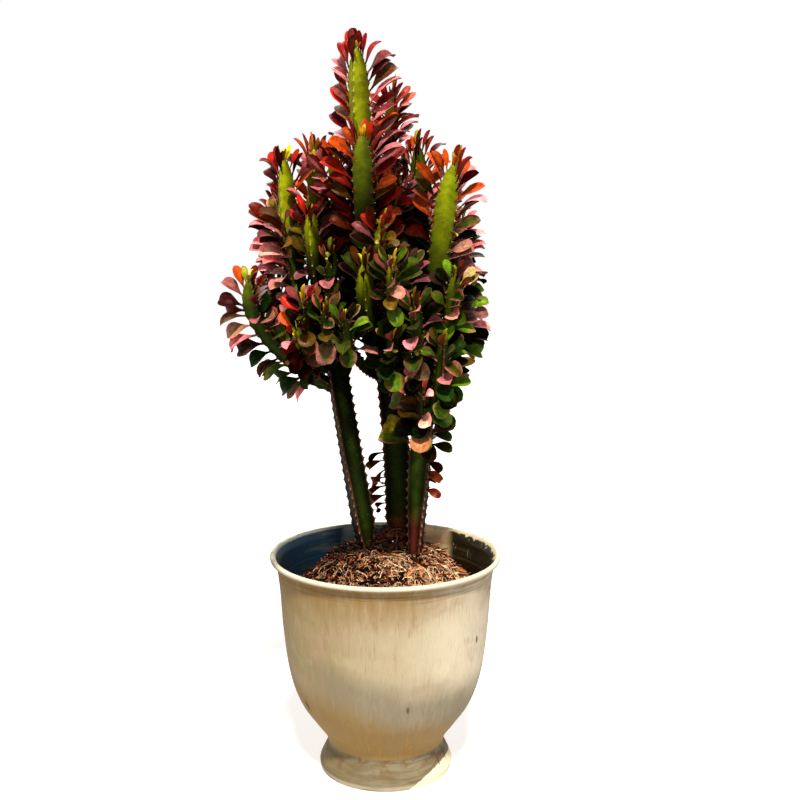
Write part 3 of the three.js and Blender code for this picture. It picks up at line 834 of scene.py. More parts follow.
def leaf_tint(pose):
    """The face of a leaf: green low down, wine to crimson above, more often orange toward the right
    as a painted glow, and some of it painted pink as a sheen of sky light.
    """
    pick = draw(*pose.seed, CHANNEL.tint)
    if pose.is_old:
        return lerp(LEAF_COLOURS.wine, LEAF_COLOURS.brown, pick)
    if pose.is_shoot:
        return blended(["shoot", "bud"], pick)
    if pose.from_tip < BUD_REACH:
        low, high = blended(["shoot", "bud"], pick), blended(["bud", "bud", "crimson"], pick * 1.05)
        return lerp(low, high, smoothstep(600, 720, pose.edge[2]))
    red = redness(pose)
    green = blended(["deep", "deep", "green"], pick)
    deep_red = blended(["wine", "wine", "crimson", "crimson"], pick)
    # Painted glow: more leaves toward the right are orange, partly their own colour and partly
    # light shining through them from behind.
    if draw(*pose.seed, CHANNEL.orange) < lerp(0.12, 0.46, smoothstep(-70, 60, pose.edge[0])):
        deep_red = LEAF_COLOURS.orange
    tint = lerp(green, blended(["olive", "brown"], pick), smoothstep(0.25, 0.5, red))
    tint = lerp(tint, deep_red, smoothstep(0.45, 0.68, red))
    # Painted sheen: level leaves painted pink as if mirroring the sky.
    sky_sheen = painted_sheen(pose) * lerp(0.5, 0.95, smoothstep(0.1, 0.6, red))
    return lerp(tint, LEAF_COLOURS.pink, sky_sheen)


def leaf_back(pose):
    """Backs are red to rose, and those of buds and shoots are yellow to orange."""
    pick = draw(*pose.seed, CHANNEL.back)
    if pose.is_shoot or pose.from_tip < BUD_REACH:
        return blended(["bud", "orange"], pick)
    return blended(["wine", "brown", "rose"], pick * 0.9)


def leaf_edge(pose):
    """Low leaves have a cream-pink margin, and red ones a dull pink one; level ones take the
    painted pink sheen there too.
    """
    pick = draw(*pose.seed, CHANNEL.margin)
    if pose.is_old:
        return LEAF_COLOURS.brown
    low = blended(["olive", "rose", "cream"], pick)
    high = blended(["wine", "crimson", "rose"], pick)
    margin = lerp(low, high, smoothstep(0.3, 0.75, redness(pose)))
    margin = lerp(margin, LEAF_COLOURS.pink, 0.8 * painted_sheen(pose))
    share = max(smoothstep(0.35, 0.95, draw(*pose.seed, CHANNEL.margin_share)), painted_sheen(pose))
    return lerp(leaf_tint(pose), margin, share)


# ---- fine stems

# Points across a rounded crest, by angle, and across the face between two crests, by share.
CREST = np.radians([-60, -28, 0, 28, 60])
FLATS = np.array([0.1, 0.26, 0.5, 0.74, 0.9])
# The height of a row, the crest's radius and its most share of the stem's, and the hollows.
SKIN = SimpleNamespace(step=2, crest=1.25, crest_share=0.13, hollow=0.03, trunk_hollow=0.05)
# The notch between two teeth, and the pad and the pair of thorns on each.
TOOTH = SimpleNamespace(rise=0.3, notch=1.4, trunk_notch=1.7, half_width=(1.2, 6.2))
PAD = SimpleNamespace(rise=0.8, half_width=0.9, half_length=1.7)
PAD_FACES = [(0, 1, 2), (0, 2, 3), (0, 3, 4), (0, 4, 1)]
THORN = SimpleNamespace(thick=0.6, long=3.6, sunk=0.5, spread=0.75, lift=0.15)
THORN_FACES = [(0, 1, 3), (1, 2, 3), (2, 0, 3)]


def teeth(stem, k):
    """Every areole of a ridge, leafy or bare, from the tip down."""
    leafy_from = stem.distance_at_height(stem.spec.leaves_from)
    return np.array(list(down_the_ridge(stem, k, leafy_from, STEM.lowest)))


def toothed(stem, k, stops, plain):
    """The radius to one ridge, with a notch between each two areoles."""
    gaps = np.abs(stops[:, None] - teeth(stem, k)[None]).min(1)
    depth = TOOTH.trunk_notch if stem.is_trunk else TOOTH.notch
    depth = depth * np.minimum(plain / LEAF.full_radius, 1)
    return plain + TOOTH.rise - depth * smoothstep(*TOOTH.half_width, gaps)[:, None]


def skin_rows(stem, stops, frames):
    """Rows of points up the stem, with how far each lies from a crest and where it faces."""
    centre, along = frames[:2]
    plain = stem.radius_at(stops)[:, None]
    crest = np.minimum(SKIN.crest, SKIN.crest_share * plain)
    hollow = (SKIN.trunk_hollow if stem.is_trunk else SKIN.hollow) * plain
    for k in range(3):
        out, out_next = stem.ridge(frames, k), stem.ridge(frames, k + 1)
        across, back = np.cross(along, out), np.cross(out_next, along)
        radius = toothed(stem, k, stops, plain)
        for angle in CREST:
            swing = out * np.cos(angle) + across * np.sin(angle)
            yield centre + out * (radius - crest) + swing * crest, abs(angle) * 0.05, swing
        ridge_in = plain - crest
        start, end = (
            ridge * ridge_in + (ridge * math.cos(CREST[-1]) + inward * math.sin(CREST[-1])) * crest
            for ridge, inward in ((out, across), (out_next, back))
        )
        middle = stem.ridge(frames, k + 0.5)
        for share in FLATS:
            flat = lerp(start, end, share) - middle * hollow * math.sin(math.pi * share)
            yield centre + flat, 1 - abs(2 * share - 1) * 0.8, middle


def fine_stem(build, stem):
    """A stem with rounded and toothed crests, hollow faces and a pointed end."""
    stops = np.linspace(0, stem.length, max(8, int(stem.length / SKIN.step)))
    frames = stem.frames(stops)
    centre, along = frames[:2]
    rows, skin, facing = zip(*skin_rows(stem, stops, frames))
    points = np.stack(rows, 1)
    widths = np.maximum(stem.radius_at(stops)[:, None], 3)
    swing = (points - centre[:, None]) @ SUNNY / widths
    tint = stem_tints(stem, stops, points, np.stack(facing, 1), swing)
    seed = draw(stem.index, CHANNEL.skin) * 7
    grain = np.stack(np.broadcast_arrays(stops[:, None] / 100, np.array(skin), seed), -1)
    ends = np.stack([centre[0], centre[-1] + along[-1] * 1.5])
    build.add(with_ends(points, ends), many_tubes(1, *points.shape[:2]),
              tint=with_ends(tint, tint[[0, -1], 0]), grain=with_ends(grain, grain[[0, -1], 0]))


STEM_COLOURS = palette(
    bark=(76, 28, 20), deep=(46, 62, 6), leaf=(80, 96, 6), lime=(170, 178, 14),
    olive=(64, 44, 10), pore=(150, 140, 100), crest=(108, 62, 36),
)
SPINE_COLOURS = palette(
    pad=(178, 146, 118), young_pad=(218, 212, 130), thorn=(62, 36, 24), young_thorn=(196, 182, 100),
)
# The heights between which the bark of each plant's stems gives way to green skin.
BARK_FROM, BARK_DEEP = (262, 296, 318), 45


def stem_tints(stem, stops, points, facing, swing):
    """Old wood is dark green, young tips are yellow-green, and the foot is brown bark. Painted
    light and shade: the side toward SUNNY is lighter and the other side darker, bark included; low
    trunk faces that look west are brown and painted darker; stems in the heart of the crown are
    painted darker.
    """
    spec, height = stem.spec, points[..., 2:]
    left = (stem.length - stops)[:, None, None]
    near, far = (70, 200) if stem.is_trunk else (45, 130)
    if spec.radius < 14:
        near, far = 14, 75
    young = (1 - smoothstep(near, far, left)) * smoothstep(600, 750, height)
    young = np.minimum(young * spec.fresh, 1)
    young = np.maximum(young, spec.lit * (1 - smoothstep(14, 50, left)))
    tint = lerp(STEM_COLOURS.deep, STEM_COLOURS.leaf, smoothstep(590, 780, height))
    tint = tint * lerp(spec.tone, 1, smoothstep(480, 620, height))
    tint = lerp(tint, STEM_COLOURS.lime, young)
    # Painted light and shade: lighter toward the sunny side, darker and more olive away from it.
    swing = smoothstep(-0.8, 0.7, swing)[..., None]
    tint = lerp(lerp(tint * 0.32, STEM_COLOURS.olive, 0.35 * young), tint * 1.15, swing)
    # Low faces of the trunks that look west: brown, and painted darker as shade.
    brown = smoothstep(0.75, 0.92, -facing @ EAST)[..., None]
    brown = brown * smoothstep(640, 560, height) * stem.is_trunk
    tint = lerp(tint, STEM_COLOURS.olive * 0.6, brown)
    # Painted shade in the heart of the crown.
    tint = tint * lerp(0.06, 1, openness(points))[..., None]
    ground = BARK_FROM[stem.index // STEMS_A_PLANT]
    bark = 1 - smoothstep(ground, ground + BARK_DEEP, height)
    # The bark is painted darker on the side away from the sun too.
    return lerp(tint, STEM_COLOURS.bark * lerp(0.5, 1.0, swing), bark)


def spines(build, stem):
    """At each areole a pale pad and a pair of short spines that spread."""
    for k in range(3):
        stops = teeth(stem, k)
        frames = stem.frames(stops)
        out = stem.ridge(frames, k)
        along, left = frames[1], (stem.length - stops)[:, None]
        across = np.cross(along, out)
        crest = frames[0] + out * (stem.radius_at(stops)[:, None] + 0.2)
        size = lerp(0.6, 1.0, smoothstep(0, 60, left)) * (1.3 if stem.is_trunk else 0.9)
        young = (1 - smoothstep(60, 200, left)) * (crest[:, 2:] > 600)
        pad = lerp(SPINE_COLOURS.pad, SPINE_COLOURS.young_pad, young)
        thorn = lerp(SPINE_COLOURS.thorn, SPINE_COLOURS.young_thorn, young)
        wide, tall = across * PAD.half_width, along * PAD.half_length
        corners = [out * PAD.rise, wide, tall, -wide, -tall]
        add_small(build, crest, corners, size, PAD_FACES, pad)
        for sign in (-1, 1):
            swing = unit(out + across * THORN.spread * sign + along * THORN.lift)
            above, beside = along * THORN.thick, np.cross(swing, along) * THORN.thick
            corners = [above, beside - above / 2, -beside - above / 2, swing * THORN.long]
            add_small(build, crest - out * THORN.sunk, corners, size, THORN_FACES, thorn)


def add_small(build, foot, corners, size, faces, tint):
    """One small flat or pointed shape at each foot."""
    points = np.stack([foot + corner * size for corner in corners], 1)
    count, each = points.shape[:2]
    rows = np.array(faces) + (np.arange(count) * each)[:, None, None]
    build.add(points, rows.reshape(-1, 3), tint=np.repeat(tint, each, 0), grain=(0, 0, 9.0))


# ---- pot

# The wall from the middle of its foot over the lip down to the floor: radius, height.
POT_OUTSIDE = [(86, 0), (87.3, 4), (87.3, 11), (81.5, 24), (77, 35), (81, 49), (96, 70),
               (113, 96), (126, 134), (133.5, 190), (138, 250), (142, 277), (149, 285.5)]
POT_LIP = [(149.9, 287.5), (149.8, 289.5), (148.5, 291), (146.3, 291.2), (144, 290.3)]
# How far each point of the lip counts as inside.
LIP_INSIDE = [0, 0, 0.2, 0.5, 0.8]
POT_INSIDE = [(137.5, 281), (134.2, 262), (133.9, 258), (133, 250), (128.5, 190), (120.5, 134),
              (106, 96), (88, 70), (62, 52)]
POT_SIDES = 240


def smooth_line(points, steps):
    """A curve through all points that keeps to their chords."""
    points = np.array(points, float)
    tangents = np.gradient(points, axis=0)
    line = []
    for (a, b), (ta, tb) in zip(zip(points, points[1:]), zip(tangents, tangents[1:])):
        for t in np.arange(steps) / steps:
            line.append((2 * t**3 - 3 * t**2 + 1) * a + (t**3 - 2 * t**2 + t) * ta
                        + (3 * t**2 - 2 * t**3) * b + (t**3 - t**2) * tb)
    return np.array([*line, points[-1]])


def make_pot(paint):
    """The urn as one turned wall, whose zone tells the inside from the outside."""
    outside, inside = smooth_line(POT_OUTSIDE, 7), smooth_line(POT_INSIDE, 6)
    outside[:, 0] = np.minimum(outside[:, 0], POT_LIP[0][0])
    profile = np.concatenate([outside, POT_LIP, inside])
    is_inside = np.concatenate([np.zeros(len(outside)), LIP_INSIDE, np.ones(len(inside))])
    angle = np.arange(POT_SIDES) * 2 * math.pi / POT_SIDES
    x, y = polar(profile[:, 0, None], angle)
    rings = np.stack(np.broadcast_arrays(x, y, profile[:, 1, None]), -1)
    zone = np.zeros(rings.shape)
    zone[..., 0] = is_inside[:, None]
    build = Build()
    build.add(with_ends(rings, [[0, 0, 0], [0, 0, POT_INSIDE[-1][1]]]),
              many_tubes(1, len(profile), POT_SIDES),
              zone=with_ends(zone, [[0, 0, 0], [1, 0, 0]]))
    return build.piece("pot_paintwork", paint, sharp=75)


# ---- potting mix

SOIL = SimpleNamespace(
    gutter_height=236, wall_radius=131.4, rings=96, sides=240,
    mound_height=48, mound_centre=(1, 28), mound_radii=(105, 108), shoulder=(0.5, 1.15),
    heap_height=14, heap_centre=(12, 72), heap_radius=34,
)
# The swell of the bed: height and size of its hills.
RIPPLES = ((2.0, 26), (1.3, 9), (0.8, 4))
# From the darkest to the lightest.
SOIL_COLOURS = np.array([
    linear(14, 6, 3), linear(44, 18, 9), linear(98, 42, 22), linear(150, 78, 44),
    linear(208, 136, 84), linear(255, 212, 164),
])
SOIL_WOOD, SOIL_DUST = linear(130, 44, 24), linear(150, 84, 54)
STONE_COLOURS = linear(126, 104, 84), linear(206, 190, 168)
# Flakes of bark: how many, their lengths, widths, tilt and lift above the mound.
FLAKES = (
    (3000, (3, 9), (1.6, 4), 0.5, 0.2),
    (2300, (7, 16), (1.8, 4.5), 0.42, 1.4),
    (800, (12, 26), (2.5, 6.5), 0.34, 3.0),
)
FLAKE_SECTIONS = ((-0.5, 0.55), (0.02, 1.0), (0.5, 0.4))
# Fibres: how many, their lengths, thicknesses and bow.
FIBRES = (
    (620, (8, 22), (0.3, 0.7), 0.7),
    (440, (18, 42), (0.3, 0.8), 1.3),
)
FIBRE_STEPS, FIBRE_SIDES = 7, 3
# The furthest from the middle that flakes, stones, fibres and the ends of fibres lie.
REACH = SimpleNamespace(flake=127, stone=122, fibre=120, fibre_end=128)
# Stones: their radii, the large ones, of which the first lie at the back, and a ball's levels.
STONES = SimpleNamespace(count=60, radius=(1.1, 2.4), large=(4.6, 3.6, 3.4, 2.8, 3.0),
                         at_back=((-50, 60), (-42, 66), (-33, 72)), levels=(-55, -20, 20, 55),
                         sides=6)
CHIP_SEED, FIBRE_SEED = 11, 12


def soil_height(x, y):
    """A wide mound, with a small heap on it round the foot of the rear stem."""
    cx, cy = SOIL.mound_centre
    rx, ry = SOIL.mound_radii
    reach = np.hypot((x - cx) / rx, (y - cy) / ry)
    mound = SOIL.mound_height * (1 - smoothstep(*SOIL.shoulder, reach))
    return SOIL.gutter_height + mound + SOIL.heap_height * heap_share(x, y, 0.2, 1)


def heap_share(x, y, inner, outer):
    """1 on the small heap and 0 off it."""
    hx, hy = SOIL.heap_centre
    return 1 - smoothstep(inner, outer, np.hypot(x - hx, y - hy) / SOIL.heap_radius)


def ripple(x, y, size, seed):
    """Smooth hills and hollows of about one size, from -1 to 1."""
    rng = np.random.default_rng(seed)
    total = np.zeros(np.shape(x))
    for _ in range(9):
        turn, phase = rng.uniform(0, 2 * math.pi, 2)
        pitch = size * rng.uniform(0.6, 1.5)
        total += np.sin((x * math.cos(turn) + y * math.sin(turn)) * 2 * math.pi / pitch + phase)
    return total / 4.5


def make_soil(paint):
    """The dark bed under the loose bark, uneven all over but at the wall."""
    radius = SOIL.wall_radius * (np.arange(SOIL.rings) + 0.5) / (SOIL.rings - 0.5)
    x, y = polar(radius[:, None], np.arange(SOIL.sides) * 2 * math.pi / SOIL.sides)
    rough = sum(high * ripple(x, y, size, seed) for seed, (high, size) in enumerate(RIPPLES, 1))
    z = soil_height(x, y) - 1.5 + rough * (1 - smoothstep(120, 131, radius[:, None]))
    tint = lerp(*SOIL_COLOURS[:2], smoothstep(-2, 3, rough)[..., None]) * 0.7
    ends = [[0, 0, float(soil_height(0.0, 0.0))], [0, 0, SOIL.gutter_height - 40]]
    build = Build()
    build.add(with_ends(np.stack([x, y, z], -1), ends), many_tubes(1, SOIL.rings, SOIL.sides),
              tint=with_ends(tint, SOIL_COLOURS[[0, 0]]), grain=(0, 0, 1.0))
    return build.piece("soil_bed", paint, sharp=180)


def scattered(rng, count, reach):
    """Places spread evenly over a disc."""
    radius = reach * np.sqrt(rng.uniform(0, 1, count))
    return polar(radius, rng.uniform(0, 2 * math.pi, count))


def soil_crown_shadow(x, y):
    """Painted shadow: the mix is painted dark behind and between the stems, where the crown shades
    it.
    """
    shadowed = smoothstep(-16, 12, y) * smoothstep(-85, -55, x) * smoothstep(62, 42, x)
    return lerp(1, 0.1, shadowed)


def soil_tints(rng, x, y, z):
    """Painted light and shade: chips are darker in the shadow of the stems and lighter toward the
    front and the right as if sunlit; those on the heap are woody.
    """
    # Painted light: lighter toward the front and the right.
    bright = smoothstep(30, -70, y) * 0.16 + smoothstep(0, 75, x) * 0.3
    share = np.clip(rng.beta(0.75, 1.3, len(x)) + bright - 0.14, 0, 0.999) * 5
    low = share.astype(int)
    tint = lerp(SOIL_COLOURS[low], SOIL_COLOURS[low + 1], (share - low)[:, None])
    wood = SOIL_WOOD * rng.uniform(0.5, 1.5, (len(x), 1))
    tint = lerp(tint, wood, 0.8 * heap_share(x, y, 0.5, 1.1)[:, None])
    return tint * soil_crown_shadow(x, y)[:, None]


def slabs(rng, build, x, y, sizes, tilt, lift):
    """Bent flakes of bark: three sections of four points, with torn ends."""
    count = len(x)
    z = soil_height(x, y) + lift
    yaw = rng.uniform(0, 2 * math.pi, count)
    pitch, roll = rng.normal(0, tilt, count), rng.normal(0, tilt * 1.2, count)
    ahead = np.stack([np.cos(yaw) * np.cos(pitch), np.sin(yaw) * np.cos(pitch), np.sin(pitch)], -1)
    flat = unit(np.cross(UP, ahead))
    up = np.cross(ahead, flat)
    side = flat * np.cos(roll)[:, None] + up * np.sin(roll)[:, None]
    up = np.cross(ahead, side)
    centre = np.stack([x, y, z], -1)
    length, width, thick = (size[:, None] for size in sizes)
    rings = []
    for along, breadth in FLAKE_SECTIONS:
        torn = rng.uniform(0.7, 1.25, (count, 1))
        bend = up * length * 0.12 * (1 - 4 * along * along)
        middle = centre + ahead * length * along * torn + bend
        across = side * width * breadth * rng.uniform(0.6, 1.1, (count, 1)) / 2
        rise = up * thick * rng.uniform(0.6, 1.1, (count, 1)) / 2
        slip = ahead * length * rng.uniform(-0.12, 0.12, (count, 1))
        rings += [middle - across - rise, middle + across - rise + slip,
                  middle + across + rise + slip, middle - across + rise]
    points = np.stack([*rings, (rings[0] + rings[2]) / 2, (rings[8] + rings[10]) / 2], 1)
    add_rows(build, points, 3, 4, soil_tints(rng, x, y, z), rng)


def add_rows(build, points, rings, size, tints, rng):
    """Many small closed tubes at once, each with its own tint and grain."""
    count, each = points.shape[:2]
    grain = np.zeros((count, each, 3))
    grain[..., 2] = rng.uniform(0, 9, (count, 1))
    build.add(points, many_tubes(count, rings, size), tint=np.repeat(tints, each, 0),
              grain=grain.reshape(-1, 3))


def strands(rng, build, count, lengths, thicknesses, bow):
    """Thin curved fibres that lie on the chips, most of them to the front and to the right, painted
    lighter there as light and darker in the stems' shadow.
    """
    x, y = scattered(rng, 3 * count, REACH.fibre)
    wanted = lerp(0.25, 1, smoothstep(50, -60, y)) * lerp(0.5, 1, smoothstep(-60, 50, x))
    kept = np.flatnonzero(rng.uniform(0, 1, 3 * count) < wanted)[:count]
    x, y, count = x[kept], y[kept], len(kept)
    yaw, bow = rng.uniform(0, 2 * math.pi, count), rng.normal(0, bow, count)
    length, thick = rng.uniform(*lengths, count), rng.uniform(*thicknesses, count)
    rise, lean = rng.uniform(1.5, 7, count), rng.normal(0, 0.16, count)
    line = []
    for share in np.linspace(-0.5, 0.5, FIBRE_STEPS):
        turn = yaw + bow * share
        px, py = x + length * share * np.cos(turn), y + length * share * np.sin(turn)
        keep = np.minimum(1, REACH.fibre_end / np.maximum(np.hypot(px, py), 1))
        px, py = px * keep, py * keep
        lift = rise * (1 - 3.6 * share * share) + np.maximum(lean * length * share, -2)
        line.append(np.stack([px, py, soil_height(px, py) + 0.5 + lift], -1))
    points = round_lines(np.stack(line, 1), thick[:, None, None], FIBRE_SIDES)
    # Painted light: lighter toward the front and the right.
    bright = smoothstep(60, -60, y) * 0.4 + smoothstep(-60, 60, x) * 0.2
    share = np.clip(rng.uniform(0, 0.75, count) + bright - 0.1, 0, 1)[:, None]
    tints = lerp(SOIL_COLOURS[1], SOIL_COLOURS[5] * 0.8, share) * soil_crown_shadow(x, y)[:, None]
    add_rows(build, points, FIBRE_STEPS, FIBRE_SIDES, tints, rng)


def round_lines(lines, thick, sides):
    """The points of a thin closed tube round each line."""
    along = unit(np.gradient(lines, axis=1))
    flat = unit(np.cross(along, UP))
    up = np.cross(flat, along)
    angles = [2 * math.pi * j / sides for j in range(sides)]
    rings = [lines + (flat * math.cos(a) + up * math.sin(a)) * thick for a in angles]
    points = np.stack(rings, 2).reshape(len(lines), -1, 3)
    return np.concatenate([points, lines[:, [0, -1]]], 1)


def pebbles(rng, build):
    """Pale stones and grains of perlite, each an uneven ball."""
    count = STONES.count
    x, y = scattered(rng, count, REACH.stone)
    radius = rng.uniform(*STONES.radius, count)
    radius[:len(STONES.large)] = STONES.large
    x[:len(STONES.at_back)], y[:len(STONES.at_back)] = np.transpose(STONES.at_back)
    z = soil_height(x, y) + 1.5 + radius * 0.3
    squash = rng.uniform(0.6, 1.15, (count, 3))
    rings = []
    for level in np.radians(STONES.levels):
        for turn in np.arange(STONES.sides) * 2 * math.pi / STONES.sides:
            ball = np.array([*polar(math.cos(level), turn), math.sin(level)])
            rings.append(ball * squash * rng.uniform(0.88, 1.1, (count, 1)))
    rings += [UP * -0.95 * squash, UP * 0.95 * squash]
    points = np.stack(rings, 1) * radius[:, None, None] + np.stack([x, y, z], -1)[:, None]
    tints = lerp(*STONE_COLOURS, rng.uniform(0, 1, (count, 1)))
    add_rows(build, points, len(STONES.levels), STONES.sides, tints, rng)


def make_chips(paint):
    """Small flakes under larger ones, and the stones among them."""
    rng = np.random.default_rng(CHIP_SEED)
    build = Build()
    for count, lengths, widths, tilt, lift in FLAKES:
        x, y = scattered(rng, count, REACH.flake)
        sizes = [rng.uniform(*limits, count) for limits in (lengths, widths, (0.6, 1.7))]
        slabs(rng, build, x, y, sizes, tilt, lift)
    pebbles(rng, build)
    return build.piece("soil_chips", paint, sharp=35)


def make_fibres(paint):
    """Short and long fibres of coir."""
    rng = np.random.default_rng(FIBRE_SEED)
    build = Build()
    for kind in FIBRES:
        strands(rng, build, *kind)
    return build.piece("soil_fibres", paint, sharp=60)


# ---- paints

PRINCIPLED = {
    "base_color": "Base Color",
    "roughness": "Roughness",
    "normal": "Normal",
    "specular": "Specular IOR Level",
    "specular_tint": "Specular Tint",
    "emission": "Emission Color",
    "emission_strength": "Emission Strength",
}
WAX_TINT = (1.0, 0.74, 0.56)


class Wire:
    """One output in a material. Sums, steps and coats add the nodes that work them out."""

    def __init__(self, paint, socket):
        self.paint, self.socket = paint, socket

    def __add__(self, other):
        return self.paint.math("ADD", self, other)

    def __sub__(self, other):
        return self.paint.math("SUBTRACT", self, other)

    def __rsub__(self, other):
        return self.paint.math("SUBTRACT", other, self)

    def __mul__(self, other):
        return self.paint.math("MULTIPLY", self, other)

    def __truediv__(self, other):
        return self.paint.math("DIVIDE", self, other)

    def larger(self, other):
        return self.paint.math("MAXIMUM", self, other)

    def step(self, start, end, low=0.0, high=1.0):
        """A smooth change from low to high while this goes from start to end."""
        inputs = {0: self, 1: start, 2: end, 3: low, 4: high}
        return self.paint.wire("MapRange", inputs, interpolation_type="SMOOTHSTEP")

    def parts(self):
        node = self.paint.node("SeparateXYZ", {0: self})
        return [Wire(self.paint, socket) for socket in node.outputs]

    def scaled(self, factor):
        """A colour made lighter or darker by a number."""
        return self.paint.wire("VectorMath", {0: self, "Scale": factor}, operation="SCALE")

    def times(self, factors):
        return self.paint.wire("VectorMath", {0: self, 1: factors}, operation="MULTIPLY")

    def moved(self, offset):
        return self.paint.wire("VectorMath", {0: self, 1: offset}, operation="ADD")

    def noise(self, scale, detail, roughness, distortion=0.0):
        inputs = {"Vector": self, "Scale": scale, "Detail": detail, "Roughness": roughness,
                  "Distortion": distortion}
        return self.paint.wire("TexNoise", inputs)

    def cells(self, scale):
        """The distance to the nearest of many scattered points."""
        return self.paint.wire("TexVoronoi", {"Vector": self, "Scale": scale})

    def between(self, low, high):
        """The colour between two others that this share stands for."""
        return self.paint.wire("Mix", {0: self, 6: low, 7: high}, output=2, data_type="RGBA")

    def coats(self, *layers):
        """Coats of colour over this one, each laid on by its share."""
        colour = self
        for share, coat in layers:
            colour = share.between(colour, coat)
        return colour

    def bump(self, strength, distance, onto=None):
        inputs = {"Height": self, "Strength": strength, "Distance": distance}
        if onto is not None:
            inputs["Normal"] = onto
        return self.paint.wire("Bump", inputs)


class Paint:
    """A procedural material whose nodes are added one by one."""

    def __init__(self, name):
        self.material = bpy.data.materials.new(name)
        self.material.use_nodes = True
        self.tree = self.material.node_tree
        self.shader = self.tree.nodes["Principled BSDF"]

    def put(self, socket, value):
        if isinstance(value, Wire):
            self.tree.links.new(value.socket, socket)
        elif socket.type == "RGBA":
            socket.default_value = (*value[:3], 1)
        else:
            socket.default_value = value

    def node(self, kind, inputs, **settings):
        node = self.tree.nodes.new("ShaderNode" + kind)
        for key, value in settings.items():
            setattr(node, key, value)
        for key, value in inputs.items():
            self.put(node.inputs[key], value)
        return node

    def wire(self, kind, inputs, output=0, **settings):
        return Wire(self, self.node(kind, inputs, **settings).outputs[output])

    def set(self, **values):
        """Gives the shader its inputs, as wires or plain values, and hands out the material."""
        for key, value in values.items():
            self.put(self.shader.inputs[PRINCIPLED[key]], value)
        return self.material

    def attribute(self, name):
        return self.wire("Attribute", {}, "Color", attribute_name=name)

    def place(self):
        return self.wire("TexCoord", {}, "Object")

    def math(self, operation, *inputs):
        return self.wire("Math", dict(enumerate(inputs)), operation=operation)

    def vector(self, *parts):
        return self.wire("CombineXYZ", dict(enumerate(parts)))


def leaf_paint():
    """Waxy blades: a paler midrib and margin, a mottled face and a duller back, painted darker
    toward the foot as shade, with a pale rim that is partly margin and partly painted highlight.
    """
    paint = Paint("leaf_wax")
    share, across, under = paint.attribute("blade").parts()
    edge, place = paint.attribute("edge"), paint.place()
    cloud, fleck = place.noise(160, 3, 0.6), place.noise(900, 2, 0.6)
    outer = (share * 0.45 + across + cloud * 1.3).step(1.3, 2.0)
    vein = across.step(0.14, 0.02) * 0.25
    face = paint.attribute("tint").scaled(cloud.step(0.3, 0.72, 0.6, 1.35))
    face = face.coats((outer * 0.75, edge))
    face = face.coats((vein, face.scaled(2.2)))
    back = paint.attribute("back").scaled(cloud.step(0.3, 0.7, 0.7, 1.2))
    back = back.coats((vein * 0.7, edge))
    # A pale rim along the margin, partly the margin's colour and partly a painted highlight.
    rim = across.step(0.88, 0.99) * share.step(0.2, 0.4)
    stalk = share.step(0.16, 0.02)
    # Painted shade: each blade is darker toward its foot, lighter toward its end.
    colour = face.coats((under, back)).scaled(share.step(0.08, 0.8, 0.4, 1.25))
    colour = colour.coats((rim * 0.6, edge), (stalk * 0.5, edge))
    grooves = cloud - across.step(0.14, 0.0) * 0.8
    red, green = colour.parts()[:2]
    return paint.set(
        base_color=colour,
        roughness=fleck.step(0.3, 0.7, 0.27, 0.42) + under * 0.14,
        normal=fleck.bump(0.25, 0.0002, grooves.bump(0.35, 0.0006)),
        specular=(red + green).step(0.0, 0.14, 0.0, 0.13),
        specular_tint=WAX_TINT,
    )


def stem_paint():
    """Ridged green skin with faint feathered bands on each face, and brown crests on old wood; old
    faces are painted lighter in their middle and darker toward the crests as light and shade.
    """
    paint = Paint("stem_skin")
    along, across, seed = paint.attribute("grain").parts()
    feather = paint.vector(along * 26 - across * 2.2, across * 0.9, seed).noise(1.0, 4, 0.65)
    tint, place = paint.attribute("tint"), paint.place()
    fine, blotch = place.noise(700, 3, 0.6), place.noise(70, 3, 0.6)
    old = place.parts()[2].step(0.62, 0.50)
    light = feather.step(0.46, 0.64) * across.step(0.15, 0.5)
    colour = tint.scaled(blotch.step(0.3, 0.7, 0.7, 1.25))
    colour = colour.coats((light * 0.26, tint.scaled(1.8)))
    # Painted light and shade on old wood: faces lighter in the middle, darker toward the crests.
    spread = across.step(0.36, 1.0) * (old * 0.95 + 0.2)
    colour = colour.scaled(spread + (0.95 - old * 0.65))
    pores = place.cells(240).step(0.13, 0.07) * blotch.step(0.42, 0.5)
    crest = across.step(0.3, 0.06) * fine.step(0.3, 0.46)
    return paint.set(
        base_color=colour.coats((pores * (old * 0.7), STEM_COLOURS.pore),
                                (crest * (old * 0.7 + 0.12), STEM_COLOURS.crest)),
        roughness=fine.step(0.3, 0.7, 0.42, 0.64),
        normal=fine.bump(0.35, 0.0003, feather.bump(0.3, 0.0008)),
        specular=0.07,
    )


def spine_paint():
    """Horny pads and thorns, a little blotched."""
    paint = Paint("spine_horn")
    fine = paint.place().noise(1400, 2, 0.5)
    return paint.set(
        base_color=paint.attribute("tint").scaled(fine.step(0.3, 0.7, 0.6, 1.15)),
        roughness=fine.step(0.3, 0.7, 0.5, 0.75),
        normal=fine.bump(0.3, 0.0002),
    )


def soil_paint():
    """Bark and coir: fibres along each chip, matt and dusty."""
    paint = Paint("bark_fibre")
    seed, place = paint.attribute("grain").parts()[2], paint.place()
    fibre = place.moved(paint.vector(seed, seed)).times((1.0, 1.0, 2.4)).noise(420, 4, 0.65)
    dust = place.noise(60, 2, 0.5).step(0.56, 0.8, 0.0, 0.3)
    chip = paint.attribute("tint").scaled(fibre.step(0.3, 0.68, 0.4, 1.5))
    return paint.set(
        base_color=chip.coats((dust, SOIL_DUST)),
        roughness=fibre.step(0.3, 0.7, 0.8, 0.95),
        normal=fibre.bump(0.7, 0.0012),
        specular=0.06,
    )


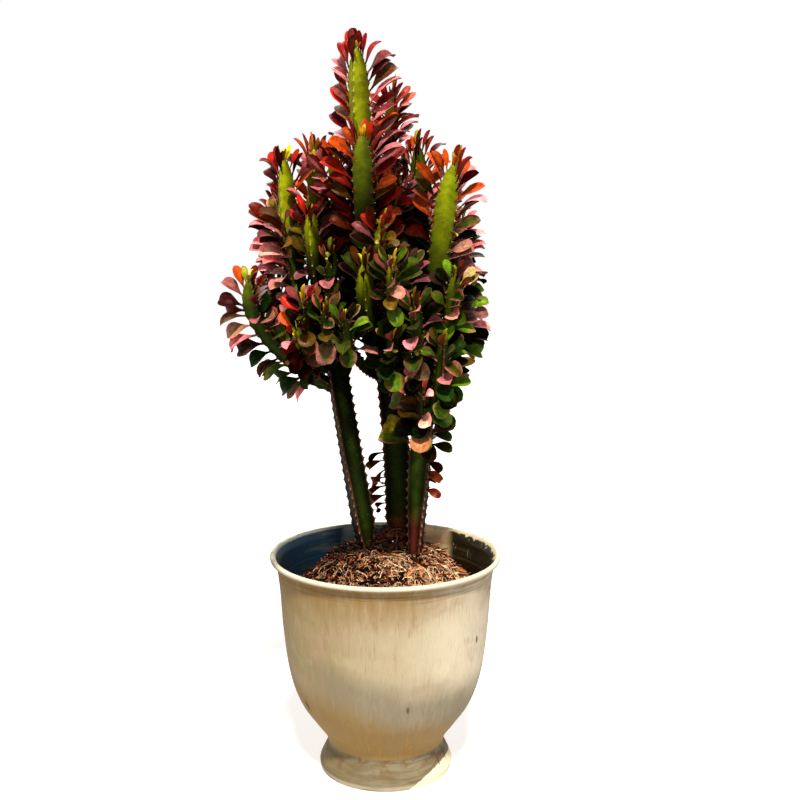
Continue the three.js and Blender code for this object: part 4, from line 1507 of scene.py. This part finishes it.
# Marks on the pot: how many to the radian and to the metre, detail, roughness and distortion.
POT_MARKS = {
    "cloud": (0.875, 8, 3, 0.55, 0.5),
    "patch": (2.25, 17, 3, 0.55, 0.4),
    "stroke": (17, 1 / 0.042, 4, 0.62, 0.2),
    "hairs": (52, 1 / 0.024, 4, 0.62, 0.2),
    "fine": (110, 1 / 0.016, 4, 0.62, 0.2),
    "rings": (1.125, 300, 3, 0.6, 0.3),
    "turning": (1.5, 160, 3, 0.6, 0.4),
    "smudge": (3.25, 50, 4, 0.6, 0.8),
    "rub": (5, 40, 3, 0.6, 0.5),
    "swirl": (1.75, 120, 3, 0.6, 0.5),
    "run": (13.75, 20, 4, 0.65, 0.4),
    "fleck": (28.75, 60, 3, 0.6, 1.0),
    "chance": (7.5, 60, 1, 0.5, 0.0),
}
NICKS = (4.25, 4.25, 13)

POT_COLOURS = palette(
    khaki=(168, 148, 104), sand=(196, 178, 145), cream=(234, 218, 188), clay=(190, 160, 132),
    straw=(212, 204, 170), ochre=(160, 124, 66), dull=(143, 130, 104), gold=(158, 118, 46),
    dark_stroke=(150, 118, 70), pale_stroke=(232, 220, 188), scratch=(126, 100, 60),
    dark_hair=(136, 112, 74), pale_hair=(240, 230, 204), band=(132, 92, 46), nick=(74, 58, 30),
    foot=(108, 96, 70), foot_pale=(136, 124, 98), foot_left=(120, 104, 68),
    smudge=(112, 84, 48), foot_edge=(186, 174, 146), foot_cream=(240, 226, 194),
    lip=(238, 228, 204), lip_tan=(150, 118, 80), lip_grey=(84, 90, 86),
    plastic_left=(18, 38, 52), plastic_right=(32, 26, 11), swirl=(98, 88, 62),
    sheen_left=(146, 156, 156), sheen_right=(255, 214, 160),
    paste=(206, 188, 150), paste_grey=(104, 112, 108),
)


def between_steps(value, rise, fall):
    """A soft band: 1 between two steps of a value and 0 outside them."""
    return value.step(*rise) * value.step(*fall)


def outside_paint(marks, x, height):
    """Cream paint brushed thinly over ochre. It is painted lighter toward the right as light, ochre
    under the rim from wear and painted shade, and dull and golden on the lower bowl as painted
    shade, with a painted shadow line just under the lip.
    """
    tones, uneven = POT_COLOURS, marks.cloud - 0.5
    patch, stroke, hairs, fine = marks.patch, marks.stroke, marks.hairs, marks.fine
    # Painted light and shade: khaki at the left through sand to cream at the right, lighter where
    # the light falls.
    side = x + uneven * 0.12
    low = x * 0.18 + height + uneven * 0.06
    # Ochre under the rim, stronger at the left: partly wear and partly painted shade under the lip.
    wear_and_shade = height.step(0.215, 0.282, 0.0, 0.95) * x.step(0.02, 0.12, 1.0, 0.15)
    # Painted shade: a dull band across the lower bowl where it turns away from the light.
    dull = low.step(0.186, 0.134) * stroke.step(0.3, 0.65, 1.0, 0.8)
    # Painted shade: the lower bowl is golden, a shaded side warmed by light from the floor.
    gold = low.step(0.126, 0.082) * stroke.step(0.3, 0.62, 0.95, 0.6)
    bare = patch.step(0.36, 0.62, 0.25, 1.0)
    # Painted shadow: a brown line just under the lip, broken by rings.
    band = between_steps(height, (0.262, 0.272), (0.288, 0.280))
    base = side.step(-0.10, 0.01).between(tones.khaki, tones.sand)
    return base.coats(
        (side.step(0.0, 0.09), tones.cream),
        (patch.step(0.48, 0.66, 0.0, 0.5), tones.clay),
        (patch.step(0.48, 0.28, 0.0, 0.35), tones.straw),
        (wear_and_shade * stroke.step(0.3, 0.65, 0.7, 1.0), tones.ochre),
        (dull * x.step(-0.105, -0.06, 0.2, 1.0), tones.dull),
        (gold, tones.gold),
        (stroke.step(0.54, 0.72, 0.0, 0.34) * bare, tones.dark_stroke),
        (stroke.step(0.46, 0.26, 0.0, 0.14), tones.pale_stroke),
        (hairs.step(0.58, 0.74, 0.0, 0.6) * bare, tones.scratch),
        (fine.step(0.54, 0.74, 0.0, 0.38), tones.dark_hair),
        (fine.step(0.42, 0.24, 0.0, 0.1), tones.pale_hair),
        (band * marks.rings.step(0.42, 0.62, 0.0, 0.6), tones.band),
    )


def foot_paint(marks, x, y, height):
    """A greyish foot with brown smudges under the bowl, painted darker at the left as shade and
    with a painted patch of sunlight at its right front.
    """
    tones, turning, smudge = POT_COLOURS, marks.turning, marks.smudge
    base = turning.step(0.35, 0.65).between(tones.foot, tones.foot_pale)
    brown = smudge.step(0.46, 0.6) * height.step(0.012, 0.03, 0.25, 0.85)
    edge = height.step(0.009, 0.004) * turning.step(0.3, 0.5, 0.3, 0.8)
    reach = x - y * 0.35 - height * 1.4 + (smudge - 0.5) * 0.012
    return base.coats(
        # Painted shade at the left.
        (x.step(-0.02, -0.07, 0.0, 0.6), tones.foot_left),
        (brown, tones.smudge),
        (edge, tones.foot_edge),
        # Painted sunlight: a bright cream crescent at the right front, where the sun passes under
        # the bowl.
        (reach.step(0.056, 0.060), tones.foot_cream),
    )


def lip_paint(marks, x, y):
    """The rim is cream in front and at the right, and rubbed through to grey at the back left."""
    tan = y.step(0.0, 0.07) * marks.rub.step(0.56, 0.42, 0.1, 0.75)
    bare = ((y - x) * 0.9).step(0.03, 0.10) * marks.rub.step(0.3, 0.6, 0.95, 0.6)
    cream = tan.between(POT_COLOURS.lip, POT_COLOURS.lip_tan)
    return cream.coats((bare, POT_COLOURS.lip_grey))


def inside_paint(marks, x, y, height):
    """Bare dark plastic inside, with a thin lip of paint, a few runs and flecks below it, and
    painted sheens of light on the back wall.
    """
    tones, swirl, right = POT_COLOURS, marks.swirl, x.step(0.02, 0.10)
    depth = marks.run.step(0.45, 0.8) * (right * 0.006 + 0.001)
    spill = (height + depth).step(0.2876, 0.2892)
    flecks = (marks.fleck - (right * -0.06 + 0.70)).step(0.0, 0.03) * height.step(0.255, 0.280)
    cover = spill.larger(flecks * 0.8)
    back = y.step(0.05, 0.08)
    # Painted sheens: pale reflections on the back wall, bluish at the left and warm tan at the
    # right.
    left_sheen = between_steps(x, (-0.066, -0.054), (-0.016, -0.030)) * back
    right_sheen = between_steps(x, (0.044, 0.058), (0.094, 0.078)) * back
    bare = x.step(0.02, -0.04) * y.step(-0.06, 0.02)
    plastic = x.step(-0.03, 0.05).between(tones.plastic_left, tones.plastic_right)
    return plastic.coats(
        (swirl.step(0.5, 0.75, 0.0, 0.36), tones.swirl),
        (left_sheen * swirl.step(0.3, 0.5, 0.45, 0.7), tones.sheen_left),
        (right_sheen * swirl.step(0.3, 0.5, 0.75, 1.0), tones.sheen_right),
        (cover, bare.between(tones.paste, tones.paste_grey)),
    ), cover


def pot_paint():
    """Brushed and worn paint outside, over dark plastic that is bare inside."""
    paint = Paint("brushed_paint")
    x, y, height = paint.place().parts()
    radius = paint.math("SQRT", x * x + y * y)
    round_place = paint.vector(x / radius, y / radius, height)
    marks = SimpleNamespace(**{
        name: round_place.times((around, around, upwards)).noise(1.0, *kind)
        for name, (around, upwards, *kind) in POT_MARKS.items()
    })
    inside = paint.attribute("zone").parts()[0]
    lip = height.step(0.2850, 0.2874) * inside.step(0.9, 0.5)
    nicks = round_place.times(NICKS).cells(1.0).step(0.12, 0.07) * marks.chance.step(0.44, 0.50)
    inner, cover = inside_paint(marks, x, y, height)
    colour = outside_paint(marks, x, height).coats(
        (height.step(0.041, 0.036), foot_paint(marks, x, y, height)),
        (lip * 0.92, lip_paint(marks, x, y)),
        (nicks * 0.85, POT_COLOURS.nick),
        (inside.step(0.55, 0.85), inner),
    )
    matt = marks.stroke.step(0.3, 0.7, 0.46, 0.66)
    relief = marks.stroke * 0.7 + marks.hairs * 0.4
    return paint.set(
        base_color=colour,
        roughness=matt + (0.34 - matt) * (inside * (1 - cover)),
        normal=nicks.bump(-0.6, 0.0008, relief.bump(0.3, 0.0009)),
        specular=0.22,
    )


# ---- the pieces

def make_plants(paints):
    stands = {name: stems_of(specs, i) for i, (name, specs) in enumerate(PLANTS.items())}
    poses = place_leaves(stands)
    for name, stems in stands.items():
        stem_build, spine_build, leaf_build = Build(), Build(), Build()
        for stem in stems:
            fine_stem(stem_build, stem)
            spines(spine_build, stem)
        fine_leaves(leaf_build, poses[name])
        for part, build, sharp in (("stems", stem_build, 70), ("spines", spine_build, 180),
                                   ("leaves", leaf_build, 55)):
            piece = build.piece(f"{name}_{part}", paints[part], sharp)
            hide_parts(name)


def make_pieces():
    pot = make_pot(pot_paint())
    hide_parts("pot")
    bark = soil_paint()
    for piece in (make_soil(bark), make_chips(bark), make_fibres(bark)):
        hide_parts("soil")
    make_plants({"stems": stem_paint(), "spines": spine_paint(), "leaves": leaf_paint()})


# ---- studio

# Each floor's name, radius and height, in metres.
FLOORS = (("floor_near", 0.42, 0.0), ("floor", 5.0, -0.0003))
FLOOR_SIDES = 64
# Each lamp's strength, softness, bearing and height over the horizon, in degrees.
SUNS = {"sun": (4.4, 6, -86, 56), "back_fill": (1.3, 50, 95, 35)}
WORLD_LIGHT = {"To Min": 0.42, "To Max": 1.0}
CAMERA = SimpleNamespace(lens=54.894, place=(0.019, -1.5363, 0.7497), looks_down=0.16619)


def make_floor():
    """A white floor. Only the part round the pot throws light back up at the object."""
    paper = Paint("floor_paper").set(base_color=(0.52, 0.51, 0.5), roughness=0.9,
                                     emission=(1, 0.98, 0.95), emission_strength=0.6)
    angles = np.arange(FLOOR_SIDES) * 2 * math.pi / FLOOR_SIDES
    for name, radius, z in FLOORS:
        mesh = bpy.data.meshes.new(name)
        rim = [(*polar(radius, angle), z) for angle in angles]
        mesh.from_pydata(rim, [], [tuple(range(FLOOR_SIDES))])
        mesh.materials.append(paper)
        floor = bpy.data.objects.new(name, mesh)
        bpy.context.scene.collection.objects.link(floor)
        floor.visible_diffuse = name == "floor_near"
        floor.visible_glossy = False
        floor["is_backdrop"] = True


def make_world():
    """A white backdrop that lights the plant less brightly than it looks."""
    world = bpy.data.worlds.new("studio")
    world.use_nodes = True
    nodes, links = world.node_tree.nodes, world.node_tree.links
    seen = nodes.new("ShaderNodeLightPath")
    strength = nodes.new("ShaderNodeMapRange")
    for key, value in WORLD_LIGHT.items():
        strength.inputs[key].default_value = value
    links.new(seen.outputs["Is Camera Ray"], strength.inputs["Value"])
    nodes["Background"].inputs["Color"].default_value = (1, 1, 1, 1)
    links.new(strength.outputs[0], nodes["Background"].inputs["Strength"])
    bpy.context.scene.world = world


def make_sun(name, energy, softness, azimuth, elevation):
    sun = bpy.data.lights.new(name, "SUN")
    sun.energy = energy
    sun.angle = math.radians(softness)
    sun.color = (1.0, 0.95, 0.86)
    lamp = bpy.data.objects.new(name, sun)
    azimuth, elevation = math.radians(azimuth), math.radians(elevation)
    towards = Vector((math.cos(azimuth) * math.cos(elevation),
                      math.sin(azimuth) * math.cos(elevation), math.sin(elevation)))
    lamp.rotation_euler = towards.to_track_quat("Z", "Y").to_euler()
    bpy.context.scene.collection.objects.link(lamp)


def make_camera():
    camera = bpy.data.cameras.new("camera")
    camera.lens = CAMERA.lens
    camera.sensor_width = 36
    stand = bpy.data.objects.new("camera", camera)
    stand.location = CAMERA.place
    stand.rotation_euler = (math.pi / 2 - CAMERA.looks_down, 0, 0)
    bpy.context.scene.collection.objects.link(stand)
    bpy.context.scene.camera = stand


make_pieces()
make_floor()
make_world()
for name, values in SUNS.items():
    make_sun(name, *values)
make_camera()
bpy.context.scene.view_settings.view_transform = "Standard"

boxes = {"cad": CAD_BOX, "visual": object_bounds()}
{key: [list(corner) for corner in box] for key, box in boxes.items()}
